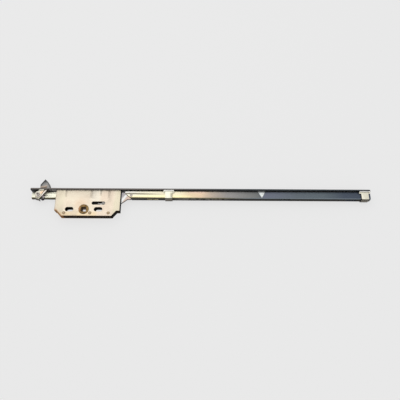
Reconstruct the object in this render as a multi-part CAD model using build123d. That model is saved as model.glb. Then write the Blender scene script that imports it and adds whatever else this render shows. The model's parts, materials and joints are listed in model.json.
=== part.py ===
from build123d import *
import os
from math import acos, atan2, cos, hypot, pi, radians, sin, sqrt, tan

# Espagnolette bolt, in millimetres. X runs along the faceplate, +X away from the hook. Y runs from the
# spindle to the faceplate's front. Z is the handle's axis, +Z towards the handle. The origin is on the
# spindle's axis, midway through the case.

# Interfaces
handle_spacing = 43.0
handle_slot_length = 12.6
handle_slot_width = 6.8
spindle_square = 7.1
backset = 33.1

# Case
case_left = -43.5
case_right = 53.2
case_bottom = -10.2
case_thickness = 12.0
sheet = 1.2
case_shoulder = 4.8
case_chamfer_run = 6.8
case_chamfer_rise = 8.2
left_shoulder = 1.3
left_chamfer_run = 7.6
case_ledge = 2.0
tenon_length = 6.0
tenon_inset = 7.0
rivet_radius = 1.5
rivet_head_radius = 2.4
rivet_head_height = 0.35
case_rivet_rise = 4.4
left_rivet_inset = 14.7
right_rivet_inset = 16.2
spacer_radius = 2.2
spacer_clear = 0.8
groove_depth = 0.4
# Each groove's X, half width and length
grooves = ((-28.6, 2.0, 11.9), (9.5, 2.6, 13.4), (23.8, 1.8, 8.9), (36.0, 2.2, 14.9))

# Faceplate
faceplate_right = 430.0
faceplate_overhang = 2.0
faceplate_thickness = 2.0
faceplate_corner = 3.0
hook_end_length = 12.7
screw_first = 95.0
screw_end_inset = 35.0
screw_count = 4
screw_radius = 2.0
screw_sink_radius = 3.2

# Follower and rack
tooth_module = 1.25
pinion_teeth = 12
pressure_angle = 25.0
root_depth_ratio = 1.25
turn = 90.0
flank_backlash = 0.10
tooth_sink = 0.6
collar_radius = 7.6
collar_proud = 0.6
collar_chamfer = 0.4
flange_radius = 8.3
spindle_lead_in = 0.7
teeth_before_mesh = 1
teeth_after_mesh = 4
leaf_thickness = 0.6
leaf_half_length = 7.4
post_radius = 1.4
post_inset = 1.4

# Slider
slider_thickness = 3.0
rack_end_land = 1.0
rack_end_slant = 1.0
lobe_lead = 1.1
lobe_tail = 4.9
lobe_slant = 1.5
lobe_rim = 1.2
lug_step = 1.0
lug_slant = 3.0
lug_reach = 0.8
lug_toe = 3.6
lug_drop = 1.6
tongue_length = 18.0
guide_rise = 0.8
guide_slot_left = 11.0
guide_length = 5.0
guide_spare = 3.0
guide_width = 4.5
guide_recess = 0.4
runner_rise = 5.0
runner_corner = 2.0
runner_end_gap = 3.0
runner_top_gap = 1.2
runner_right_inset = 9.6

# Main rod, a channel with its web towards +Z and its lower corner cut off beside the case
rod_reach = 6.7
rod_nose = 5.0
rod_slant = 9.6
rod_end_inset = 0.5
rod_depth = 11.7
rod_thickness = 9.0
rod_wall = 1.2
rod_flange = 1.8
rod_edge = 0.8
rod_fold = 1.5
rod_rivet_inset = 9.1
rod_rivet_rise = 4.1
rod_rivet_head_radius = 2.1
rod_rivet_head_height = 0.4
notch_x = 265.9
notch_half_width = 5.9
notch_depth = 11.2
splice_half_length = 12.0
splice_thickness = 1.2
splice_recess = 0.3

# Hook rod, a channel under the slider
hook_rod_drop = 1.1
hook_rod_depth = 10.3
hook_rod_wall = 1.2
hook_rod_end = 11.2
hook_rod_fold = 2.0
lap_rivet_first = -23.0
lap_rivet_spacing = 7.0
lap_margin = 4.5
lap_rivet_head_radius = 2.3
lap_rivet_head_height = 0.5

# Hook
pivot_x = -70.8
pivot_depth = 7.4
hook_thickness = 4.0
hook_turn = 80.0
hook_boss_radius = 5.2
hook_edge_bevel = 0.5
pivot_pin_radius = 2.0
pivot_head_radius = 2.9
pivot_head_height = 0.7
pivot_tail_radius = 1.2
pivot_tail_head = 1.9
bush_wall = 0.6
drive_pin_radius = 1.5
drive_shank_radius = 1.1
drive_pin_drop = 5.2
drive_tab_wall = 1.0
fork_reach = 9.2
tine_width = 1.6
hook_web = 1.6
cheek_behind = 9.5
cheek_eye_radius = 4.3
far_cheek_ahead = 15.4
far_cheek_drop = 3.4
cheek_corner = 2.0
near_ear_span = (1.4, 8.6)
cheek_pad_behind = 4.0
# The shank and the barbed head from the pivot, at rest
hook_outline = (
    (0.6, 4.8), (5.2, 10.3), (1.4, 10.8), (1.4, 16.4), (7.5, 25.1), (11.7, 21.2),
    (14.5, 17.6), (16.2, 13.8), (16.9, 10.8), (12.6, 8.3), (4.6, -2.8), (0.0, -2.0),
)
# The tail below the pivot, which covers the fork from the near side
tail_outline = ((-4.6, 0.0), (-4.2, -5.2), (-2.6, -8.4), (1.6, -9.2), (1.9, -6.6), (5.0, -2.3))

# Rod clips
near_clip_from_screw = 30.6
end_clip_inset = 9.0
clip_strap = 10.8
clip_shoulder = 3.6
clip_flange = 16.4
clip_corner = 1.2
ear_rivet_radius = 0.6
ear_rivet_head_radius = 0.8
ear_rivet_head_height = 0.4
near_ear_rivets = (1.8, 5.4)
far_ear_rivets = (3.0, 12.0)

# Clearances
running_fit = 0.05
gap = 0.3
rod_play = 0.5
pin_play = 0.3
screw_side_play = 0.2
window_play = 0.5
window_lead = 1.2
window_corner = 1.0
left_wall_gap = 0.8
# How far a cut runs past what it cuts
past = 1.0

# Levels of the case and the faceplate
half_case = case_thickness / 2
inner_top = half_case - sheet
inner_bottom = sheet - half_case
half_face = half_case + faceplate_overhang
face_back = backset - faceplate_thickness
case_rivet_y = case_bottom + case_rivet_rise

# The rack's pitch line, travel and tooth heights
pitch_radius = tooth_module * pinion_teeth / 2
rack_pitch = pi * tooth_module
travel = radians(turn) * pitch_radius
tooth_root = root_depth_ratio * tooth_module
rack_root = pitch_radius + tooth_root
rack_tip = pitch_radius - tooth_module

# Main rod and slider
rod_left = case_right + rod_reach
rod_right = faceplate_right - rod_end_inset
rod_top = face_back - rod_play
rod_bottom = rod_top - rod_depth
rod_face = rod_thickness / 2
web_back = rod_face - rod_wall
rod_rivet_x = rod_left + rod_rivet_inset
rod_rivet_y = rod_bottom + rod_rivet_rise
slider_top = web_back
slider_bottom = slider_top - slider_thickness
tongue_top = rod_top - rod_flange - gap
tongue_bottom = rod_bottom + rod_flange + gap
lug_bottom = rack_root + lug_step
lug_knee = case_right + lug_reach
rod_toe = rod_left + rod_slant
rod_slope = rod_slant / (rod_depth - rod_nose)
guide_y = rack_root + guide_rise
guide_slot_right = guide_slot_left + guide_spare + travel + guide_length + 2 * gap
guide_right = guide_slot_right - gap
guide_left = guide_right - guide_length
lobe_left = guide_left - lobe_lead
lobe_right = guide_right + lobe_tail
lobe_bottom = guide_y - guide_width / 2 - lobe_rim

# Hook rod
lap_rivets_x = (lap_rivet_first, lap_rivet_first + lap_rivet_spacing)
slider_left = lap_rivets_x[0] - lap_margin
hook_rod_right = lap_rivets_x[-1] + lap_margin
hook_rod_left = pivot_x - hook_rod_end
hook_rod_bottom = inner_bottom + gap
hook_rod_top = slider_bottom
hook_web_back = hook_rod_top - hook_rod_wall
hook_rod_high = rod_top - hook_rod_drop
hook_rod_low = hook_rod_high - hook_rod_depth
lap_rivet_y = (hook_rod_low + hook_rod_high) / 2

# Hook and its pivot
pivot_y = face_back - pivot_depth
hook_low = hook_rod_top + gap
hook_high = hook_low + hook_thickness
hook_step = hook_high - hook_web
hook_radius = max(hypot(x, y) for x, y in hook_outline)
bush_bore = pivot_pin_radius + running_fit
bush_radius = bush_bore + bush_wall
drive_x = pivot_x + travel / 2
drive_y = pivot_y - drive_pin_drop
near_cheek = (hook_high + gap, hook_high + gap + sheet)
far_cheek = (-half_case, -half_case + sheet)
cheek_left = pivot_x - cheek_behind
near_ear_x = (pivot_x + near_ear_span[0], pivot_x + near_ear_span[1])
faceplate_left = pivot_x - hook_end_length

# Places along the case and the rod
case_rivets_x = (
    case_left + left_rivet_inset,
    sqrt((flange_radius + spacer_radius + spacer_clear) ** 2 - case_rivet_y ** 2),
    case_right - right_rivet_inset,
)
tenons_x = (case_left + tenon_inset, case_right - tenon_inset - tenon_length)
left_wall_top = hook_rod_low - left_wall_gap
right_wall_top = lug_bottom - 2 * gap
screw_spacing = (faceplate_right - screw_end_inset - screw_first) / (screw_count - 1)
screws_x = [screw_first + screw_spacing * index for index in range(screw_count)]
clips_x = (screw_first + near_clip_from_screw, faceplate_right - end_clip_inset)


def slab(x_low, x_high, y_low, y_high, z_low, z_high):
    block = Box(x_high - x_low, y_high - y_low, z_high - z_low)
    return Pos((x_low + x_high) / 2, (y_low + y_high) / 2, (z_low + z_high) / 2) * block


def disc(x, y, radius, z_low, z_high):
    return Pos(x, y, (z_low + z_high) / 2) * Cylinder(radius, z_high - z_low)


def prism(points, z_low, z_high):
    face = make_face(Polyline(*points, close=True))
    return Pos(0, 0, z_low) * extrude(face, amount=z_high - z_low, dir=(0, 0, 1))


def slot(x_low, x_high, y, width, z_low, z_high):
    face = SlotOverall(x_high - x_low, width)
    return Pos((x_low + x_high) / 2, y, z_low) * extrude(face, amount=z_high - z_low, dir=(0, 0, 1))


def bar_y(x, z, radius, y_low, y_high):
    """A round bar along Y."""
    return Pos(x, (y_low + y_high) / 2, z) * Rot(90, 0, 0) * Cylinder(radius, y_high - y_low)


def cone_y(x, z, small, large, y_low, y_high):
    """A cone along Y, with its large end at y_high."""
    return Pos(x, (y_low + y_high) / 2, z) * Rot(-90, 0, 0) * Cone(small, large, y_high - y_low)


def rivet_z(x, y, radius, head_radius, head_height, z_low, z_high):
    """A rivet along Z whose low heads lie on z_low and z_high."""
    shank = disc(x, y, radius, z_low, z_high)
    crown = head_radius - head_height
    upper = Pos(x, y, z_high + head_height / 2) * Cone(head_radius, crown, head_height)
    lower = Pos(x, y, z_low - head_height / 2) * Cone(crown, head_radius, head_height)
    return shank + upper + lower


def clip_rivet_places():
    """The X and Z of each clip rivet: one in each end of both ears of both clips."""
    offset = (clip_flange + clip_strap) / 4
    z = (rod_face + sheet + half_face) / 2
    return [(x + side * offset, sign * z) for x in clips_x for side in (-1, 1) for sign in (-1, 1)]


def cheek_rivet_places():
    near_z = (near_cheek[1] + half_face - gap) / 2
    far_z = (far_cheek[0] - half_face) / 2
    places = [(near_ear_x[0] + inset, near_z) for inset in near_ear_rivets]
    return places + [(cheek_left + inset, far_z) for inset in far_ear_rivets]


def faceplate():
    plate = slab(faceplate_left, faceplate_right, face_back, backset, -half_face, half_face)
    plate = fillet(plate.edges().filter_by(Axis.Y), faceplate_corner)
    sink = screw_sink_radius - screw_radius
    for x in screws_x:
        plate -= bar_y(x, 0, screw_radius, face_back - past, backset + past)
        plate -= cone_y(x, 0, screw_radius, screw_sink_radius, backset - sink, backset)
    plate -= hook_window()
    for level in (inner_top, -half_case):
        for x in tenons_x:
            plate -= slab(x, x + tenon_length, face_back - past, backset + past, level, level + sheet)
    for x, z in clip_rivet_places() + cheek_rivet_places():
        plate -= bar_y(x, z, ear_rivet_radius, face_back - past, backset + past)
    return plate


def hook_window():
    """The slot in the faceplate that the hook swings through."""
    low = pivot_x + hook_outline[0][0] - window_lead
    high = pivot_x + hook_radius + gap
    window = slab(low, high, face_back - past, backset + past, hook_low - window_play, hook_high + window_play)
    return fillet(window.edges().filter_by(Axis.Y), window_corner)


def case_outline(left_step):
    """The outline of a side plate, given the width of the step beside its left chamfer."""
    shoulder_y = case_bottom + case_chamfer_rise
    return [
        (case_left, face_back),
        (case_left, shoulder_y),
        (case_left + left_step, shoulder_y),
        (case_left + left_step + left_chamfer_run, case_bottom),
        (case_right - case_shoulder - case_chamfer_run, case_bottom),
        (case_right - case_shoulder, shoulder_y),
        (case_right, shoulder_y),
        (case_right, face_back),
    ]


def case_plate(z_low, outline):
    """One of the case's two side plates, with its two tenons in the faceplate and the holes both share."""
    z_high = z_low + sheet
    plate = prism(outline, z_low, z_high)
    for x in tenons_x:
        plate += slab(x, x + tenon_length, face_back, backset, z_low, z_high)
    plate -= disc(0, 0, collar_radius + running_fit, z_low - past, z_high + past)
    half_slot = handle_slot_length / 2
    for x in (-handle_spacing / 2, handle_spacing / 2):
        plate -= slot(x - half_slot, x + half_slot, 0, handle_slot_width, z_low - past, z_high + past)
    for x in case_rivets_x:
        plate -= disc(x, case_rivet_y, rivet_radius, z_low - past, z_high + past)
    return plate


def case_base():
    """The far side plate with the case's rim, which is open towards the faceplate and the rods."""
    outline = case_outline(left_shoulder)
    tray = case_plate(-half_case, outline)
    rim = prism(outline, inner_bottom, inner_top)
    inside = offset(make_face(Polyline(*outline, close=True)), -sheet, kind=Kind.INTERSECTION)
    rim -= Pos(0, 0, inner_bottom) * extrude(inside, amount=inner_top - inner_bottom, dir=(0, 0, 1))
    middle = (case_left + case_right) / 2
    rim -= slab(case_left - past, middle, left_wall_top, face_back + past, inner_bottom, inner_top)
    rim -= slab(middle, case_right + past, right_wall_top, face_back + past, inner_bottom, inner_top)
    return tray + rim


def case_cover():
    """The near side plate, with the guide slot and shallow pressed grooves from its upper edge."""
    cover = case_plate(inner_top, case_outline(left_shoulder + case_ledge))
    slot_width = guide_width + 2 * gap
    cover -= slot(guide_slot_left, guide_slot_right, guide_y, slot_width, inner_top - past, half_case + past)
    for x, radius, length in grooves:
        axis_z = half_case - groove_depth + radius
        middle = face_back + (radius - length) / 2
        cover -= Pos(x, middle, axis_z) * Rot(90, 0, 0) * Cylinder(radius, length + radius)
    return cover


def case_rivets():
    parts = []
    for x in case_rivets_x:
        parts.append(rivet_z(x, case_rivet_y, rivet_radius, rivet_head_radius, rivet_head_height,
                             -half_case, half_case))
    return Compound(children=parts)


def case_spacers():
    parts = []
    for x in case_rivets_x:
        tube = disc(x, case_rivet_y, spacer_radius, inner_bottom, inner_top)
        parts.append(tube - disc(x, case_rivet_y, rivet_radius, inner_bottom - past, inner_top + past))
    return Compound(children=parts)


def involute_angle(radius, base):
    """The angle, in radians, that the involute has turned through where it reaches the radius."""
    steep = acos(min(1.0, base / radius))
    return tan(steep) - steep


def pinion_tooth(centre_angle):
    """The outline of one involute tooth of the follower, on the XY plane."""
    base = pitch_radius * cos(radians(pressure_angle))
    tip = pitch_radius + tooth_module
    half_pitch_angle = (rack_pitch / 2 - flank_backlash) / 2 / pitch_radius
    base_half = half_pitch_angle + involute_angle(pitch_radius, base)
    steps = 6
    flank = [(pitch_radius - tooth_root - tooth_sink, base_half)]
    for index in range(steps + 1):
        radius = base + (tip - base) * index / steps
        flank.append((radius, base_half - involute_angle(radius, base)))
    mirrored = [(radius, -angle) for radius, angle in reversed(flank)]
    centre = radians(centre_angle)
    return [(radius * cos(centre - angle), radius * sin(centre - angle)) for radius, angle in flank + mirrored]


def follower():
    """The brass follower: a square hole, a collar in each side plate and a toothed sector between."""
    body = disc(0, 0, pitch_radius - tooth_root, inner_bottom + gap, inner_top - gap)
    body += disc(0, 0, flange_radius, inner_bottom + gap, slider_bottom - gap)
    body += disc(0, 0, flange_radius, slider_top + gap, inner_top - gap)
    reach = half_case + collar_proud
    upper = disc(0, 0, collar_radius, inner_top - gap, reach)
    lower = disc(0, 0, collar_radius, -reach, inner_bottom + gap)
    body += chamfer(upper.edges().filter_by(GeomType.CIRCLE).sort_by(Axis.Z)[-1], collar_chamfer)
    body += chamfer(lower.edges().filter_by(GeomType.CIRCLE).sort_by(Axis.Z)[0], collar_chamfer)
    step = 360 / pinion_teeth
    for index in range(-teeth_before_mesh, teeth_after_mesh):
        body += prism(pinion_tooth(90 - step * (index + 0.5)), slider_bottom, slider_top)
    body -= slab(-spindle_square / 2, spindle_square / 2, -spindle_square / 2, spindle_square / 2,
                 -reach - past, reach + past)
    wide = spindle_square + 2 * spindle_lead_in
    for side in (-1, 1):
        mouth = Pos(0, 0, side * reach) * Rectangle(wide, wide)
        throat = Pos(0, 0, side * (reach - spindle_lead_in)) * Rectangle(spindle_square, spindle_square)
        body -= loft([throat, mouth])
    return body


def follower_spring():
    """A leaf that bears on the follower's lower flange, held at its ends by two posts."""
    x = -flange_radius - gap
    return slab(x - leaf_thickness, x, -leaf_half_length, leaf_half_length,
                inner_bottom + gap, slider_bottom - 2 * gap)


def spring_posts():
    x = -flange_radius - gap - leaf_thickness - post_radius
    y = leaf_half_length - post_inset
    parts = [disc(x, side * y, post_radius, inner_bottom, slider_bottom - gap) for side in (-1, 1)]
    return Compound(children=parts)


def slider_runner():
    """The nylon strip under the slider."""
    rest = slab(hook_rod_right + runner_end_gap, case_right - runner_right_inset,
                rack_root + runner_rise, tongue_top - runner_top_gap, inner_bottom, slider_bottom - gap)
    return fillet(rest.edges().filter_by(Axis.Z), runner_corner)


def rack_slider():
    """The plate that the follower drives, from the hook rod's lap to a tongue inside the main rod."""
    slope = tan(radians(pressure_angle))
    half_tip = rack_pitch / 4 - tooth_module * slope
    half_root = rack_pitch / 4 + tooth_root * slope
    land = -teeth_before_mesh * rack_pitch - half_root - rack_end_land
    points = [(slider_left, tongue_top), (slider_left, tongue_bottom)]
    points += [(land - rack_end_slant, tongue_bottom), (land, rack_root)]
    for index in range(-teeth_before_mesh, teeth_after_mesh + 1):
        x = index * rack_pitch
        points += [(x - half_root, rack_root), (x - half_tip, rack_tip)]
        points += [(x + half_tip, rack_tip), (x + half_root, rack_root)]
    points += [(lobe_left - lobe_slant, rack_root), (lobe_left, lobe_bottom), (lobe_right, lobe_bottom)]
    points += [(lobe_right + lug_slant, lug_bottom), (lug_knee, lug_bottom)]
    toe_end = rod_toe - 2 * gap
    points += [(rod_left + lug_toe, rod_bottom - lug_drop), (toe_end - lug_drop / 2, rod_bottom - lug_drop)]
    points += [(toe_end, rod_bottom)]
    points += [(toe_end - rod_slope * (tongue_bottom - rod_bottom), tongue_bottom)]
    points += [(rod_left + tongue_length, tongue_bottom), (rod_left + tongue_length, tongue_top)]
    plate = prism(points, slider_bottom, slider_top)
    holes = [(rod_rivet_x, rod_rivet_y)] + [(x, lap_rivet_y) for x in lap_rivets_x]
    for x, y in holes:
        plate -= disc(x, y, rivet_radius, slider_bottom - past, slider_top + past)
    return plate


def guide_block():
    """The block on the slider that runs in the cover's slot."""
    return slot(guide_left, guide_right, guide_y, guide_width, slider_top, half_case - guide_recess)


def near_edges(rod):
    """The long edges of a rod's near face, from the lowest to the highest."""
    return rod.edges().filter_by(Axis.X).group_by(Axis.Z)[-1].sort_by(Axis.Y)


def notch_half(y):
    """Half the width of the main rod's notch at that height."""
    return notch_half_width * (1 - (rod_top - y) / notch_depth)


def main_rod():
    rod = slab(rod_left, rod_right, rod_bottom, rod_top, -rod_face, rod_face)
    rod -= slab(rod_left - past, rod_right + past, rod_bottom + rod_flange, rod_top - rod_flange,
                -rod_face - past, web_back)
    rod = fillet(near_edges(rod)[-1], rod_edge)
    rod = fillet(near_edges(rod)[0], rod_fold)
    rod -= prism([
        (rod_left - past, rod_bottom - past),
        (rod_toe + rod_slope * past, rod_bottom - past),
        (rod_left - past, rod_top - rod_nose + past / rod_slope),
    ], -rod_face - past, rod_face + past)
    rod -= disc(rod_rivet_x, rod_rivet_y, rivet_radius, web_back - past, rod_face + past)
    half = screw_radius + screw_side_play
    for x in screws_x:
        low = x - half - gap
        high = x + travel + half + gap
        rod -= slab(low, high, rod_bottom - past, rod_top + past, -half, half)
    wide = notch_half(rod_top + past)
    rod -= prism([
        (notch_x - wide, rod_top + past),
        (notch_x, rod_top - notch_depth),
        (notch_x + wide, rod_top + past),
    ], -rod_face - past, rod_face + past)
    return rod


def rod_splice():
    """The plate inside the main rod that bridges its notch, with a tab that almost fills it."""
    low = web_back - splice_thickness
    splice = slab(notch_x - splice_half_length, notch_x + splice_half_length, tongue_bottom, tongue_top,
                  low, web_back)
    half = notch_half(rod_top) - gap
    tip = rod_top - notch_depth + gap * notch_depth / notch_half_width
    tab = prism([(notch_x - half, rod_top), (notch_x, tip), (notch_x + half, rod_top)],
                low, rod_face - splice_recess)
    return splice + tab


def hook_rod():
    """The channel from the slider to the hook, slotted round the pivot, with a tab for the drive pin."""
    rod = slab(hook_rod_left, hook_rod_right, hook_rod_low, hook_rod_high, hook_rod_bottom, hook_rod_top)
    rod -= slab(hook_rod_left - past, hook_rod_right + past, hook_rod_low + hook_rod_wall,
                hook_rod_high - hook_rod_wall, hook_rod_bottom - past, hook_web_back)
    rod = fillet(near_edges(rod)[0], hook_rod_fold)
    reach = drive_pin_radius + drive_tab_wall
    rod += disc(drive_x, drive_y, reach, hook_web_back, hook_rod_top)
    rod += slab(drive_x - reach, drive_x + reach, drive_y, pivot_y - pivot_tail_radius - pin_play - hook_rod_wall,
                hook_web_back, hook_rod_top)
    cut_low = hook_rod_bottom - past
    cut_high = hook_rod_top + past
    clear = pivot_tail_radius + pin_play
    rod -= slot(pivot_x - clear, pivot_x + travel + clear, pivot_y, 2 * clear, cut_low, cut_high)
    rod -= disc(drive_x, drive_y, drive_shank_radius, cut_low, cut_high)
    for x in lap_rivets_x:
        rod -= disc(x, lap_rivet_y, rivet_radius, cut_low, cut_high)
    return rod


def rod_rivets():
    """The rivets that join the slider to its two rods."""
    parts = [rivet_z(rod_rivet_x, rod_rivet_y, rivet_radius, rod_rivet_head_radius, rod_rivet_head_height,
                     slider_bottom, rod_face)]
    for x in lap_rivets_x:
        parts.append(rivet_z(x, lap_rivet_y, rivet_radius, lap_rivet_head_radius, lap_rivet_head_height,
                             hook_web_back, slider_top))
    return Compound(children=parts)


def hook_drive_pin():
    pin = disc(drive_x, drive_y, drive_pin_radius, hook_rod_top, hook_step - gap)
    return pin + disc(drive_x, drive_y, drive_shank_radius, hook_web_back, hook_rod_top)


def fork_play():
    """How far the drive pin leaves the fork's centre line as the rod moves, at most."""
    most = 0
    steps = 40
    for index in range(steps + 1):
        share = index / steps
        side = travel * (0.5 - share)
        lead = atan2(side, drive_pin_drop) - radians(hook_turn * (0.5 - share))
        most = max(most, abs(hypot(side, drive_pin_drop) * sin(lead)))
    return most


def hook():
    """The swing hook: a boss on the pivot, a shank and barbed head above it, a fork and a tail below."""
    head = prism(hook_outline, hook_low, hook_high)
    for flat in (head.faces().sort_by(Axis.Z)[-1], head.faces().sort_by(Axis.Z)[0]):
        head = chamfer(flat.edges(), hook_edge_bevel)
    shape = disc(0, 0, hook_boss_radius, hook_low, hook_high) + head
    slot_half = drive_pin_radius + fork_play() + pin_play
    fork_half = slot_half + tine_width
    fork = slab(0, fork_reach, -fork_half, fork_half, hook_low, hook_step)
    fork = fillet(fork.edges().filter_by(Axis.Z).sort_by(Axis.X)[-2:], 0.95 * tine_width)
    floor = drive_pin_drop - drive_pin_radius - pin_play + slot_half
    mouth = disc(floor, 0, slot_half, hook_low - past, hook_step)
    mouth += slab(floor, fork_reach + past, -slot_half, slot_half, hook_low - past, hook_step)
    aim = Rot(0, 0, hook_turn / 2 - 90)
    shape += aim * fork
    shape += prism(tail_outline, hook_step, hook_high)
    shape -= aim * mouth
    shape -= disc(0, 0, bush_radius, hook_low - past, hook_high + past)
    return Pos(pivot_x, pivot_y, 0) * shape


def hook_bush():
    ring = disc(pivot_x, pivot_y, bush_radius, hook_low, hook_high)
    return ring - disc(pivot_x, pivot_y, bush_bore, hook_low - past, hook_high + past)


def hook_pivot_pin():
    """A stepped pin: thick through the hook and its near cheek, thin through the rod and the far cheek."""
    half = pivot_head_height / 2
    pin = disc(pivot_x, pivot_y, pivot_pin_radius, hook_low, near_cheek[1])
    pin += disc(pivot_x, pivot_y, pivot_tail_radius, far_cheek[0], hook_low)
    near_head = Cone(pivot_head_radius, pivot_head_radius - pivot_head_height, pivot_head_height)
    far_head = Cone(pivot_tail_head - pivot_head_height, pivot_tail_head, pivot_head_height)
    pin += Pos(pivot_x, pivot_y, near_cheek[1] + half) * near_head
    return pin + Pos(pivot_x, pivot_y, far_cheek[0] - half) * far_head


def ear(x_low, x_high, z_low, z_high):
    """A cheek's ear on the faceplate's back, with its rivet holes."""
    tab = slab(x_low, x_high, face_back - sheet, face_back, z_low, z_high)
    for x, z in cheek_rivet_places():
        if z_low < z < z_high:
            tab -= bar_y(x, z, ear_rivet_radius, face_back - sheet - past, face_back + past)
    return tab


def near_hook_cheek():
    """A strap over the hook's shank, with an eye round the pivot and an ear bent outwards."""
    z_low, z_high = near_cheek
    left, right = near_ear_x
    strap = disc(pivot_x, pivot_y, cheek_eye_radius, z_low, z_high)
    strap += prism([
        (pivot_x - cheek_eye_radius, pivot_y),
        (pivot_x + cheek_eye_radius * cos(radians(35)), pivot_y - cheek_eye_radius * sin(radians(35))),
        (right, face_back),
        (left, face_back),
        (left, face_back - sheet),
        (pivot_x - cheek_eye_radius, pivot_y + cheek_eye_radius * 0.8),
    ], z_low, z_high)
    strap -= disc(pivot_x, pivot_y, pivot_pin_radius, z_low - past, z_high + past)
    return strap + ear(left, right, z_low, half_face - gap)


def far_hook_cheek():
    """The plate behind the hook rod that carries the pivot's thin end on a pad inside the rod's channel."""
    z_low, z_high = far_cheek
    right = pivot_x + far_cheek_ahead
    pad = slab(pivot_x - cheek_pad_behind, right, hook_rod_low + hook_rod_wall + gap,
               hook_rod_high - hook_rod_wall - gap, z_high, hook_web_back - gap)
    cheek = slab(cheek_left, right, pivot_y - far_cheek_drop, face_back, z_low, z_high)
    cheek = fillet(cheek.edges().filter_by(Axis.Z).sort_by(Axis.Y)[:2], cheek_corner) + pad
    cheek -= disc(pivot_x, pivot_y, pivot_tail_radius, z_low - past, hook_web_back + past)
    return cheek + ear(cheek_left, right, -half_face, z_high)


def flush_rivet(x, z):
    """A small rivet along Y through an ear and the faceplate, flush in front, with a head behind."""
    ear_face = face_back - sheet
    pin = bar_y(x, z, ear_rivet_radius, ear_face, backset)
    return pin + bar_y(x, z, ear_rivet_head_radius, ear_face - ear_rivet_head_height, ear_face)


def cheek_rivets():
    return Compound(children=[flush_rivet(x, z) for x, z in cheek_rivet_places()])


def clip_rivets():
    return Compound(children=[flush_rivet(x, z) for x, z in clip_rivet_places()])


def rod_clip(x):
    """A saddle round the main rod, with an ear on each side against the faceplate's back."""
    inside = rod_face + gap
    outside = inside + sheet
    low = rod_bottom - gap
    half = clip_strap / 2
    strap = slab(x - half, x + half, low - sheet, face_back, -outside, outside)
    strap = fillet(strap.edges().filter_by(Axis.X).sort_by(Axis.Y)[:2], 2 * sheet)
    ear_half = clip_flange / 2
    strap += slab(x - ear_half, x + ear_half, face_back - clip_shoulder, face_back, -outside, outside)
    strap -= slab(x - clip_flange, x + clip_flange, low, face_back + past, -inside, inside)
    for side in (-1, 1):
        z_low, z_high = sorted((side * inside, side * (half_face - gap)))
        ear = slab(x - ear_half, x + ear_half, face_back - sheet, face_back, z_low, z_high)
        outer = ear.edges().filter_by(Axis.Y).sort_by(Axis.Z)
        strap += fillet(outer[-2:] if side > 0 else outer[:2], clip_corner)
    for rivet_x, z in clip_rivet_places():
        if abs(rivet_x - x) < ear_half:
            strap -= bar_y(rivet_x, z, ear_rivet_radius, face_back - sheet - past, face_back + past)
    return strap


nodes = {
    "faceplate": faceplate(),
    "case_base": case_base(),
    "case_cover": case_cover(),
    "case_rivets": case_rivets(),
    "case_spacers": case_spacers(),
    "follower": follower(),
    "follower_spring": follower_spring(),
    "spring_posts": spring_posts(),
    "slider_runner": slider_runner(),
    "rack_slider": rack_slider(),
    "guide_block": guide_block(),
    "main_rod": main_rod(),
    "rod_splice": rod_splice(),
    "hook_rod": hook_rod(),
    "rod_rivets": rod_rivets(),
    "hook_drive_pin": hook_drive_pin(),
    "hook": hook(),
    "hook_bush": hook_bush(),
    "hook_pivot_pin": hook_pivot_pin(),
    "near_hook_cheek": near_hook_cheek(),
    "far_hook_cheek": far_hook_cheek(),
    "cheek_rivets": cheek_rivets(),
    "near_rod_clip": rod_clip(clips_x[0]),
    "end_rod_clip": rod_clip(clips_x[1]),
    "clip_rivets": clip_rivets(),
}

os.makedirs("parts", exist_ok=True)
for name, shape in nodes.items():
    export_step(shape, f"parts/{name}.step")

print("rod travel", round(travel, 4), "mm")
print("follower ratio", round(1000 / pitch_radius, 4), "rad per m")
print("hook ratio", round(radians(hook_turn) / travel * 1000, 4), "rad per m")
print("drive pin play in the fork", round(fork_play(), 3), "mm")
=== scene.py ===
"""Dresses the espagnolette bolt: its plated sheet and rods, brass follower, hook and small rivets."""

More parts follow.
